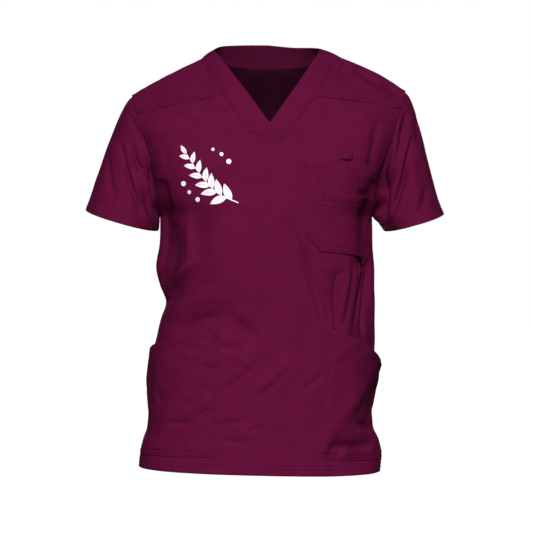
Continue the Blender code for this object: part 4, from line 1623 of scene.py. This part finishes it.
@dataclass
class Neckband:
    """The neckband: a folded strip round the neck, which stands up behind."""

    form: Form
    cut: Cut = Cut(760, 36)
    lap: float = 1.4
    thickness: float = 1.5
    stitches: float = 2.3
    first: tuple[float, ...] = (-1.4, -0.2, 0.8, 1.6, 2.3, 3.0, 3.9, 5.2)
    last: tuple[float, ...] = (4.5, 2.2, 0.9, 0.0)
    middle_rows: int = 9
    columns_per_mm: float = 0.34
    base_columns: int = 12
    base_row: tuple[float, float, float] = (-22.0, 29.0, -150.6)  # its stitches' x and height
    lapped_end: tuple[float, float, float] = (-27.0, -8.0, -139.1)

    def ring(self) -> tuple[Array, Array]:
        """The neck seam and the band's free edge, once round from the left of the V's base.

        Returns:
            The points of the seam, and those of the edge across from them.
        """
        seam, free = [], []
        for side in Side:
            front, back = self.form.fronts[side], self.form.backs[side]
            stretches = (
                (front, BASE_UP, front.knots[-1], BAND_FRONT[side]),
                (back, back.knots[-1], self.form.back_neck(side), BAND_BACK[side]),
            )
            for half, start, stop, edge in stretches:
                t = np.linspace(start, stop, 160)
                line = half.points(np.zeros(len(t)), t)
                place = lengths(line)
                share = np.linspace(0, 1, round(place[-1] * self.columns_per_mm) + 1)
                seam.append(resampled(place, share * place[-1], line))
                free.append(along([(side * x, y, z) for x, y, z in edge], share))
        parts = []
        for found in (seam, free):
            right = np.concatenate((found[2], found[3][1:]))[-2::-1]
            ring = np.concatenate((found[0], found[1][1:], right))
            share = np.linspace(0, 1, self.base_columns + 1)[1:-1, None]
            parts.append(np.concatenate((ring, ring[-1] + share * (ring[0] - ring[-1]))))
        return parts[0], parts[1]

    def build(self, finishes: Finishes) -> bpy.types.Object:
        """Makes the band and its stitches.

        Args:
            finishes: the materials.

        Returns:
            The band's object.
        """
        seam, free = self.ring()
        width = np.linalg.norm(free - seam, axis=1)
        first = np.array(self.first)[:, None] * np.ones(len(width))
        last = width - np.array(self.last)[:, None]
        share = np.linspace(0, 1, self.middle_rows + 2)[1:-1, None]
        from_seam = np.concatenate((first, first[-1] + share * (last[0] - first[-1]), last))
        part = from_seam / width
        grid = seam + part[..., None] * (free - seam)
        up = -grid_normals(grid, closed=True)
        around = lengths(grid[:1], axis=1)
        rise = BAND_CROWN * np.sin(math.pi * np.clip(part, 0, 1)) + 0.75 - 0.3 * part
        rise += grooves(from_seam, (self.stitches,))
        rise += puckers(0.4, around, Draw.NECKBAND, (10, 36), from_seam - 2, 9)
        x, z = grid[..., 0], grid[..., 2]
        start, stop, height = self.lapped_end
        end = step_up(x - start, 1.5) * step_up(stop - x, 1.5) * (grid[..., 1] < 0)
        rise -= 0.8 * near_line(z - height + 0.08 * (x - start), 1.3) * end
        start, stop, height = self.base_row
        end = step_up(x - start, 1.5) * step_up(stop - x, 1.5) * (grid[..., 1] < 0)
        rise -= 0.6 * near_line(z - height, 1.3) * end
        grid = grid + rise[..., None] * up
        sheet, thread = Sheet("neckband"), ThreadWork("neckband")
        places = np.broadcast_to(around, from_seam.shape)
        sheet.add(grid, places, from_seam, flip=True, closed=True, depth=self.thickness)
        row = self.first.index(self.stitches)
        thread.run(grid[row], up[row])
        line = np.linspace(start, stop, 20)
        thread.run(*laid_on(grid, up, line, np.full(len(line), height)))
        # The band's inner face is a darker cloth: painted shade inside the neck.
        piece = sheet.build((finishes.outside, finishes.inside))
        hang(piece, ("neckband",), (thread.build(finishes.thread),))
        return piece


@dataclass
class Pocket:
    """A pocket: a patch over one half of the front.

    in_ and out_ are its inner and outer edges' distances from the middle, at its top and at
    its bottom. open_ and low_ are the heights of its opening and of its bottom at the two
    edges. gape is how far the opening stands off in its middle, and tip at its outer end.
    """

    name: str
    half: Half
    in_top: float
    in_low: float
    out_top: float | None
    out_low: float | None
    open_in: float
    open_out: float
    low_in: float
    low_out: float
    gape: float
    tip: float
    fade: float
    cut: Cut
    lift: float = POCKET_LIFT + WALL
    edge_lift: float = 1.3
    chamfer: float = 0.0
    width: float = 118.0
    stitches: tuple[float, ...] = (2.0, 8.0)
    top_stitches: tuple[float, ...] = (13.0,)
    bars: tuple[float, ...] = (2.0,)  # how far from the inner edge its bar tacks are
    bar_length: float = 17.0
    bar_width: float = 3.2
    folds: tuple[Fold, ...] = ()
    pucker: float = 0.6
    uneven: float = 0.4
    seed: int = Draw.HIP_LEFT

    def rows(self, height: Array) -> Array:
        """Spreads the grid's rows over the pocket's height.

        Args:
            height: the pocket's height at each column.

        Returns:
            Shares of the way from the bottom to the opening, a row for each level.
        """
        lines = (*self.stitches, *(float(height.mean()) - s for s in self.top_stitches))
        middle = float(height.mean())
        found = spaced((0.0, middle), lines)
        low = found[:, None] / height
        high = 1 - (middle - found[:, None]) / height
        share = (found / middle)[:, None]
        return low * (1 - share) + high * share

    def place(self) -> tuple[Array, Array, Array, Array]:
        """Where the pocket's grid lies.

        Returns:
            u, t, the shares of the way up to the opening, and those of the way outwards.
        """
        lines = list(self.stitches)
        if self.out_top is not None:
            lines += [self.width - s for s in self.stitches]
        share = spaced((0.0, self.width), lines) / self.width
        opening = mix((self.open_in, self.open_out), share)
        bottom = mix((self.low_in, self.low_out), share)
        if self.chamfer:
            u, t, _ = self.between(opening, bottom, share)
            from_edge = np.abs(self.half.points(u[0], t[0])[:, 0]) - self.in_low
            bottom = bottom + np.maximum(0, self.chamfer - from_edge)
        u, t, rise = self.between(opening, bottom, share)
        return u, t, rise, np.broadcast_to(share, t.shape)

    def between(self, opening: Array, bottom: Array, share: Array) -> tuple[Array, Array, Array]:
        """Fills the pocket's outline with a grid.

        Args:
            opening: the heights of its opening, a column for each share.
            bottom: the heights of its bottom.
            share: the columns' shares of the way outwards.

        Returns:
            u, t and the shares of the way up to the opening.
        """
        rise = self.rows(opening - bottom)
        t = bottom + rise * (opening - bottom) - HEM_LEVEL
        inner = mix((self.in_low, self.in_top), rise)
        u_inner = self.find(inner, t)
        u_outer = np.full(t.shape, SIDE_STOP)
        if self.out_top is not None:
            u_outer = self.find(mix((self.out_low, self.out_top), rise), t)
        return u_inner + (u_outer - u_inner) * share, t, rise

    def find(self, x: Array, t: Array) -> Array:
        """Where along their sections the cloth reaches the distances x sideways."""
        return self.half.find_u(x.ravel(), t.ravel()).reshape(t.shape)

    def stand_off(self, rise: Array, share: Array) -> Array:
        """How far the cloth stands off, most at the opening and not at the seams.

        Args:
            rise: shares of the way up to the opening.
            share: shares of the way outwards.

        Returns:
            The distance at each place.
        """
        near_top = np.clip(1 - (1 - rise) / self.fade, 0, 1)
        middle = self.gape * np.sin(math.pi * share) ** GAPE_POWER * near_top**2
        return middle + self.tip * near_top * share**TIP_POWER

    def build(self, finishes: Finishes) -> bpy.types.Object:
        """Makes the pocket and its stitches.

        Args:
            finishes: the materials.

        Returns:
            The pocket's object.
        """
        u, t, rise, share = self.place()
        up = self.half.outward(u, t)
        grid = self.half.points(u, t)
        along_row, along_column = lengths(grid, axis=1), lengths(grid, axis=0)
        near, low = along_row, along_column
        far, high = along_row[:, -1:] - along_row, along_column[-1:] - along_column
        edges = [near, low] + ([far] if self.out_top is not None else [])
        inset = np.minimum.reduce(edges)
        lift = self.edge_lift + (self.lift - self.edge_lift) * step_up(inset - 9, 4)
        lift += self.stand_off(rise, share)
        lift += grooves(inset, self.stitches) + grooves(high, self.top_stitches)
        lift += puckers(self.pucker, near + low, self.seed, (7, 26), inset - 5, 8)
        lift += self.uneven * crumple(near, low, 30, self.seed) * step_up(inset - 10, 5)
        # The front below it has the same folds.
        creases = DRAPE * folded(self.folds, self.half.across(u, t), grid[..., 2])
        lift += creases * seam_fade(u)
        grid = grid + lift[..., None] * up
        sheet = Sheet(self.name)
        sheet.add(grid, near, low, flip=self.half.side < 0)
        thread = ThreadWork(self.name)
        for stitches in self.stitches:
            column = row_at(near[0], stitches)
            row = row_at(low[:, len(low[0]) // 2], stitches)
            thread.run(grid[row:, column], up[row:, column])
            thread.run(grid[row, column:], up[row, column:])
        for stitches in self.top_stitches:
            row = row_at(high[:, 0], stitches)
            thread.run(grid[row], up[row])
        for place in self.bars:
            column = row_at(near[-1], place)
            row = row_at(high[:, column], self.bar_length)
            thread.bar(grid[row:, column], up[row:, column], self.bar_width)
        piece = sheet.build(finishes.cloth())
        hang(piece, (self.name,), (thread.build(finishes.thread),))
        return piece


@dataclass
class TapeLoop:
    """The tape loop above the chest pocket: sewn down at its ends, arched between them."""

    half: Half
    cut: Cut = Cut(28, 10, 0.7)
    inner: float = 117.0
    outer: float = 137.0
    top: float = -183.0
    bottom: float = -192.0
    arch: float = 3.0
    sewn_lift: float = 1.2  # how far its sewn ends lie off the form
    columns: int = 20
    rows: int = 6

    def build(self, finishes: Finishes) -> bpy.types.Object:
        """Makes the loop.

        Args:
            finishes: the materials.

        Returns:
            The loop's object.
        """
        share = np.linspace(0, 1, self.columns + 1)
        x = self.inner + (self.outer - self.inner) * share
        x, z = np.meshgrid(x, np.linspace(self.bottom, self.top, self.rows + 1))
        t = z - HEM_LEVEL
        u = self.half.find_u(x.ravel(), t.ravel()).reshape(t.shape)
        crest = POCKET_LIFT + WALL + self.arch
        lift = self.sewn_lift + (crest - self.sewn_lift) * np.sin(math.pi * share)
        grid, _ = self.half.raised(u, t, np.broadcast_to(lift, t.shape))
        sheet = Sheet("pocket_loop")
        sheet.add(grid, x, z)
        piece = sheet.build(finishes.cloth())
        hang(piece, ("pocket_loop",))
        return piece


@dataclass
class Sprig:
    """A leafy sprig printed in white on the left of the chest: thin shapes laid on the front.

    Places are distances along the cloth and heights.
    """

    panel: FrontPanel
    stem: tuple[tuple[float, float], ...] = ((-50, -264), (-84, -248), (-114, -216), (-136, -183))
    leaves: int = 12
    longest: float = 31.0
    shortest: float = 17.0
    fatness: float = 0.21
    angle: float = 44.0
    rib: float = 0.5  # the bare line along each leaf's middle
    stem_width: float = 1.7
    berries: tuple[tuple[float, float, float], ...] = (
        (-142, -232, 4.2),
        (-132, -246, 3.2),
        (-118, -258, 3.8),
        (-66, -196, 4.2),
        (-78, -184, 3.2),
        (-92, -176, 2.6),
    )
    film: float = 0.3

    def lay(self, flat: Array) -> Array:
        """Lays flat points on the front's outer face.

        Args:
            flat: (..., 2) places along the cloth and heights.

        Returns:
            The points, (..., 3), in millimetres.
        """
        half = self.panel.form.fronts[Side.LEFT]
        across, z = flat[..., 0].ravel(), flat[..., 1].ravel()
        t = z - HEM_LEVEL
        u, near = half.at(across, t)
        rise = self.panel.relief(Side.LEFT, Places(u, t, near, near + FAR_OFF, across, z))
        laid, _ = half.raised(u, t, rise + self.film)
        return laid.reshape(*flat.shape[:-1], 3)

    def leaf(self, root: Array, turn: float, length: float, bow: float) -> list[Array]:
        """The two halves of a leaf.

        Args:
            root: where it leaves the stem.
            turn: its direction, in radians.
            length: its length.
            bow: how far its middle bends aside, as a share of its length.

        Returns:
            Two flat grids.
        """
        s = np.linspace(0, 1, 13)[:, None]
        run = np.array((math.cos(turn), math.sin(turn)))
        aside = np.array((-run[1], run[0]))
        middle = root + length * (s * run + bow * 4 * s * (1 - s) * aside)
        reach = self.fatness * length * np.sin(math.pi * s**0.8) ** 0.9
        halves = []
        for side in Side:
            across = np.linspace(0, 1, 4)[None, :, None]
            off = side * (self.rib / 2 + across * np.maximum(reach - self.rib / 2, 0)[:, None])
            halves.append(middle[:, None] + off * aside)
        return halves

    def build(self, finish: bpy.types.Material) -> bpy.types.Object:
        """Makes the print.

        Args:
            finish: the ink.

        Returns:
            Its object.
        """
        shares = np.linspace(0, 1, 40)
        line = along(self.stem, shares)
        run = unit(np.gradient(line, axis=0))
        aside = np.stack((-run[:, 1], run[:, 0]), axis=1)
        width = self.stem_width * (1 - 0.6 * shares)[:, None, None] / 2
        grids = [line[:, None] + width * np.array((-1, 1))[None, :, None] * aside[:, None]]
        for number in range(self.leaves):
            share = 0.1 + 0.82 * number / (self.leaves - 1)
            place = row_at(shares, share)
            side = 1 if number % 2 else -1
            turn = math.atan2(run[place, 1], run[place, 0]) + side * math.radians(self.angle)
            length = self.longest + (self.shortest - self.longest) * share
            grids += self.leaf(line[place], turn, length, -0.05 * side)
        end = math.atan2(run[-1, 1], run[-1, 0])
        grids += self.leaf(line[-1], end, self.shortest, 0.03)
        turns = np.linspace(0, math.tau, 17)
        rings = np.stack((np.cos(turns), np.sin(turns)), axis=1)
        for across, z, radius in self.berries:
            spokes = np.linspace(0.15, 1, 4)[:, None, None] * radius * rings[None]
            grids.append(np.array((across, z)) + spokes)
        points, faces, count = [], [], 0
        for grid in grids:
            laid = self.lay(grid).reshape(-1, 3)
            quads = grid_quads(np.arange(len(laid)).reshape(grid.shape[:2]))
            behind = quad_normals(laid, quads)[:, 1] > 0
            quads[behind] = quads[behind][:, ::-1]
            points.append(laid)
            faces.append(quads + count)
            count += len(laid)
        made = add_mesh("chest_print", np.concatenate(points), np.concatenate(faces), (finish,))
        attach(made, "root")
        return made


def colour(code: str) -> tuple[float, float, float, float]:
    """Turns a hex sRGB colour into a linear one.

    Args:
        code: its six hex digits.

    Returns:
        Its red, green, blue and alpha.
    """
    parts = [int(code[i : i + 2], 16) / 255 for i in (0, 2, 4)]
    linear = [c / 12.92 if c <= 0.04045 else ((c + 0.055) / 1.055) ** 2.4 for c in parts]
    return (*linear, 1.0)


def add_node(
    tree: bpy.types.NodeTree,
    kind: str,
    settings: dict[str, object] | None = None,
    inputs: dict[str, object] | None = None,
) -> Node:
    """Adds a shader node.

    Args:
        tree: the material's nodes.
        kind: the node's type.
        settings: its properties by name.
        inputs: its inputs by name: each a value, or another node's output to link.

    Returns:
        The node.
    """
    node = tree.nodes.new(kind)
    for name, value in (settings or {}).items():
        setattr(node, name, value)
    for name, value in (inputs or {}).items():
        socket = node.inputs[name]
        if isinstance(value, bpy.types.NodeSocket):
            tree.links.new(value, socket)
        else:
            socket.default_value = value
    return node


def new_material(name: str) -> tuple[bpy.types.Material, bpy.types.NodeTree, Node]:
    """Makes a material with a Principled shader.

    Args:
        name: its name.

    Returns:
        The material, its nodes and the shader.
    """
    material = bpy.data.materials.new(name)
    material.use_nodes = True
    tree = material.node_tree
    tree.nodes.clear()
    shader = add_node(tree, "ShaderNodeBsdfPrincipled")
    add_node(tree, "ShaderNodeOutputMaterial", inputs={"Surface": shader.outputs["BSDF"]})
    return material, tree, shader


@dataclass(frozen=True)
class Twill:
    """Burgundy polyester and cotton twill, dyed in the piece and pressed.

    The dye is a little uneven, and the surface is matt with a faint bloom of loose fibres.
    """

    name: str = "burgundy_twill"
    pale: str = "540A30"
    dark: str = "50082B"
    roughness: float = 0.85
    sheen: float = 0.02
    rib: float = 1.6  # mm; the real cloth's ribs are 0.6 mm apart, too fine to show
    rib_angle: float = 63.0
    rib_height: float = 0.12
    rib_waver: float = 1.2
    patch_size: float = 34.0
    fibre_size: float = 0.9
    fibre_share: float = 0.6  # the fibres' height as a share of the ribs'
    bloom: str = "B05080"
    gloss: float = 0.05

    def build(self) -> bpy.types.Material:
        """Makes the material.

        Returns:
            The material.
        """
        material, tree, shader = new_material(self.name)
        place = add_node(tree, "ShaderNodeUVMap", {"uv_map": "weave"}).outputs["UV"]
        turned = add_node(
            tree,
            "ShaderNodeMapping",
            inputs={"Vector": place, "Rotation": (0, 0, math.radians(self.rib_angle))},
        ).outputs["Vector"]
        ribs = add_node(
            tree,
            "ShaderNodeTexWave",
            {"bands_direction": "X"},
            {
                "Vector": turned,
                "Scale": math.tau / 20 / (self.rib * MM),
                "Distortion": self.rib_waver,
                "Detail": 2.0,
                "Detail Scale": 1.5,
            },
        ).outputs["Fac"]
        patches = add_node(
            tree,
            "ShaderNodeTexNoise",
            inputs={"Vector": place, "Scale": 1 / (self.patch_size * MM), "Detail": 4.0},
        ).outputs["Fac"]
        tone = add_node(tree, "ShaderNodeValToRGB", inputs={"Fac": patches})
        ramp = tone.color_ramp
        ramp.elements[0].position, ramp.elements[1].position = 0.35, 0.65
        ramp.elements[0].color, ramp.elements[1].color = colour(self.dark), colour(self.pale)
        tree.links.new(tone.outputs["Color"], shader.inputs["Base Color"])
        fibres = add_node(
            tree,
            "ShaderNodeTexNoise",
            inputs={"Vector": place, "Scale": 1 / (self.fibre_size * MM), "Detail": 3.0},
        ).outputs["Fac"]
        height = add_node(
            tree,
            "ShaderNodeMath",
            {"operation": "MULTIPLY_ADD"},
            {0: fibres, 1: self.fibre_share, 2: ribs},
        ).outputs["Value"]
        bump = add_node(
            tree,
            "ShaderNodeBump",
            inputs={"Height": height, "Distance": self.rib_height * MM, "Strength": 0.6},
        )
        tree.links.new(bump.outputs["Normal"], shader.inputs["Normal"])
        shader.inputs["Roughness"].default_value = self.roughness
        shader.inputs["Sheen Weight"].default_value = self.sheen
        shader.inputs["Sheen Roughness"].default_value = 0.5
        shader.inputs["Sheen Tint"].default_value = colour(self.bloom)
        shader.inputs["Specular IOR Level"].default_value = self.gloss
        return material


@dataclass(frozen=True)
class Plain:
    """A finish of one even colour, such as spun polyester thread or a film of printing ink."""

    name: str
    base: str
    roughness: float
    gloss: float = 0.5

    def build(self) -> bpy.types.Material:
        """Makes the material.

        Returns:
            The material.
        """
        material, _, shader = new_material(self.name)
        shader.inputs["Base Color"].default_value = colour(self.base)
        shader.inputs["Roughness"].default_value = self.roughness
        shader.inputs["Specular IOR Level"].default_value = self.gloss
        return material


@dataclass
class Studio:
    """A pale floor and backdrop, soft light from the front and behind, and the camera."""

    camera_x: float = -4.25
    camera_z: float = -368.0
    distance: float = 3.0
    lens: float = 119.2
    floor_level: float = -1.6
    floor_reach: float = 30.0
    backdrop: float = 1.0  # how bright the surroundings look
    floor_base: str = "606060"
    floor_glow: float = 1.0
    fill: float = 0.03  # how much soft light they give
    sun_strength: float = 3.1
    sun_height: float = 38.0  # degrees above level
    sun_softness: float = 9.0
    key_place: tuple[float, float, float] = (-0.05, -1.35, -0.2)
    key_size: tuple[float, float] = (0.25, 1.5)
    key_power: float = 12.0
    back_places: tuple[tuple[float, float, float], ...] = ((-0.5, 1.8, 0.1), (0.5, 1.8, 0.1))
    back_size: tuple[float, float] = (0.5, 1.3)
    back_power: float = 16.0

    def seen(self, tree: bpy.types.NodeTree, seen: float, given: float) -> bpy.types.NodeSocket:
        """A strength that looks brighter than the light it gives.

        Args:
            tree: the nodes to add it to.
            seen: the strength as it is seen.
            given: the strength of its light.

        Returns:
            The strength.
        """
        path = add_node(tree, "ShaderNodeLightPath").outputs["Is Camera Ray"]
        inputs = {0: path, 1: seen - given, 2: given}
        return add_node(tree, "ShaderNodeMath", {"operation": "MULTIPLY_ADD"}, inputs).outputs[0]

    def floor(self) -> None:
        """Makes the floor."""
        mesh = bpy.data.meshes.new("floor")
        reach = self.floor_reach
        corners = [(-reach, -reach), (reach, -reach), (reach, reach), (-reach, reach)]
        mesh.from_pydata([(x, y, self.floor_level) for x, y in corners], [], [(0, 1, 2, 3)])
        floor = add_object("floor", mesh)
        material, tree, shader = new_material("pale_floor")
        shader.inputs["Base Color"].default_value = colour(self.floor_base)
        shader.inputs["Roughness"].default_value = 0.9
        shader.inputs["Specular IOR Level"].default_value = 0.0
        shader.inputs["Emission Color"].default_value = colour("FFFFFF")
        tree.links.new(self.seen(tree, self.floor_glow, 0.0), shader.inputs["Emission Strength"])
        mesh.materials.append(material)

    def lamp(
        self, name: str, place: Sequence[float], size: tuple[float, float], power: float
    ) -> None:
        """Makes a tall soft lamp that is aimed at the top.

        Args:
            name: its name.
            place: where it stands.
            size: its width and its height.
            power: its power in watts.
        """
        light = bpy.data.lights.new(name, "AREA")
        light.shape, light.size, light.size_y = "RECTANGLE", size[0], size[1]
        light.energy = power
        lamp = add_object(name, light)
        lamp.location = place
        aim = Vector((0, 0, self.camera_z * MM)) - lamp.location
        lamp.rotation_euler = aim.to_track_quat("-Z", "Y").to_euler()
        lamp.visible_camera = False

    def build(self) -> None:
        """Makes the floor, the surroundings, the lamps and the camera."""
        self.floor()
        world = bpy.data.worlds.new("surroundings")
        bpy.context.scene.world = world
        world.use_nodes = True
        sky = world.node_tree.nodes["Background"]
        strength = self.seen(world.node_tree, self.backdrop, self.fill)
        sky.inputs["Color"].default_value = colour("FFFFFF")
        world.node_tree.links.new(strength, sky.inputs["Strength"])
        self.lamp("key", self.key_place, self.key_size, self.key_power)
        light = bpy.data.lights.new("high_key", "SUN")
        light.energy, light.angle = self.sun_strength, math.radians(self.sun_softness)
        sun = add_object("high_key", light)
        sun.location = (0, -2, 1)
        sun.rotation_euler = (math.radians(90 - self.sun_height), 0, 0)
        for number, place in enumerate(self.back_places):
            self.lamp(f"back_light_{number}", place, self.back_size, self.back_power)
        bpy.context.scene.view_settings.view_transform = "Standard"
        lens = bpy.data.cameras.new("camera")
        lens.sensor_width, lens.lens = 36.0, self.lens
        lens.clip_start, lens.clip_end = 0.05, 100.0
        camera = add_object("camera", lens)
        camera.location = (self.camera_x * MM, -self.distance, self.camera_z * MM)
        camera.rotation_euler = (math.pi / 2, 0, 0)
        bpy.context.scene.camera = camera


def main() -> None:
    """Builds every piece in order, then the studio."""
    logging.basicConfig(level=logging.INFO, format="%(message)s")
    form = Form()
    cloth = Twill().build()
    # The cloth's reverse is the same twill made darker: painted shade for the inside of the top.
    reverse = Twill(name="twill_reverse_painted_shade", pale="280417", dark="240414").build()
    # The neckband's inner face is the same twill made darker: painted shade inside the neck.
    inside = Twill(name="twill_band_inside_painted_shade", pale="430826", dark="3F0722").build()
    # The thread is burgundy like the cloth but darker than it: painted shade for the dents that the
    # stitches pull into the cloth.
    thread = Plain("burgundy_thread_painted_shade", "3C0620", roughness=0.7, gloss=0.1).build()
    ink = Plain("white_ink", "E6DCE2", roughness=0.6).build()
    finishes = Finishes(cloth, reverse, inside, thread, ink)
    FrontPanel(form).build(finishes)
    BackPanel(form).build(finishes)
    for side in Side:
        YokePanel(form, side).build(finishes)
        Sleeve(form, side, valley=SLEEVE_VALLEYS[side]).build(finishes)
    Neckband(form).build(finishes)
    left, right = form.fronts[Side.LEFT], form.fronts[Side.RIGHT]
    hip_left = (82, 94, None, None, -469, -512, -681, -686, 8, 2, 0.5)
    hip_right = (101, 72, None, None, -470, -535, -682, -691, 11, 11, 0.5)
    chest = (59, 58, 178, 162, -193, -206, -340, -352, 1.2, 0, 0.4)
    lower = (59, 58, 178, 162, -247, -255, -340, -352, 1.2, 2, 0.4)
    Pocket(
        "hip_pocket_left", left, *hip_left, Cut(150, 215, 0.9), folds=HIP_LEFT_FOLDS,
        seed=Draw.HIP_LEFT,
    ).build(finishes)
    Pocket(
        "hip_pocket_right", right, *hip_right, Cut(150, 215, 0.9), folds=HIP_RIGHT_FOLDS,
        pucker=0.9, seed=Draw.HIP_RIGHT,
    ).build(finishes)
    Pocket(
        "chest_pocket", right, *chest, Cut(120, 150, 0.95), lift=1.7, edge_lift=1.1, chamfer=26,
        bar_length=13, bar_width=2.4, folds=CHEST_FOLDS, pucker=0.3, uneven=0.25,
        seed=Draw.CHEST,
    ).build(finishes)
    Pocket(
        "chest_pocket_front", right, *lower, Cut(120, 105, 0.95), lift=2.9, edge_lift=2.3,
        chamfer=26, bars=(2.0, 30.0), bar_length=13, bar_width=2.4, folds=CHEST_FOLDS[:1],
        pucker=0.3, uneven=0.25, seed=Draw.CHEST_FRONT,
    ).build(finishes)
    TapeLoop(right).build(finishes)
    Sprig(FrontPanel(form)).build(finishes.ink)
    Studio().build()


if __name__ == "__main__":
    main()
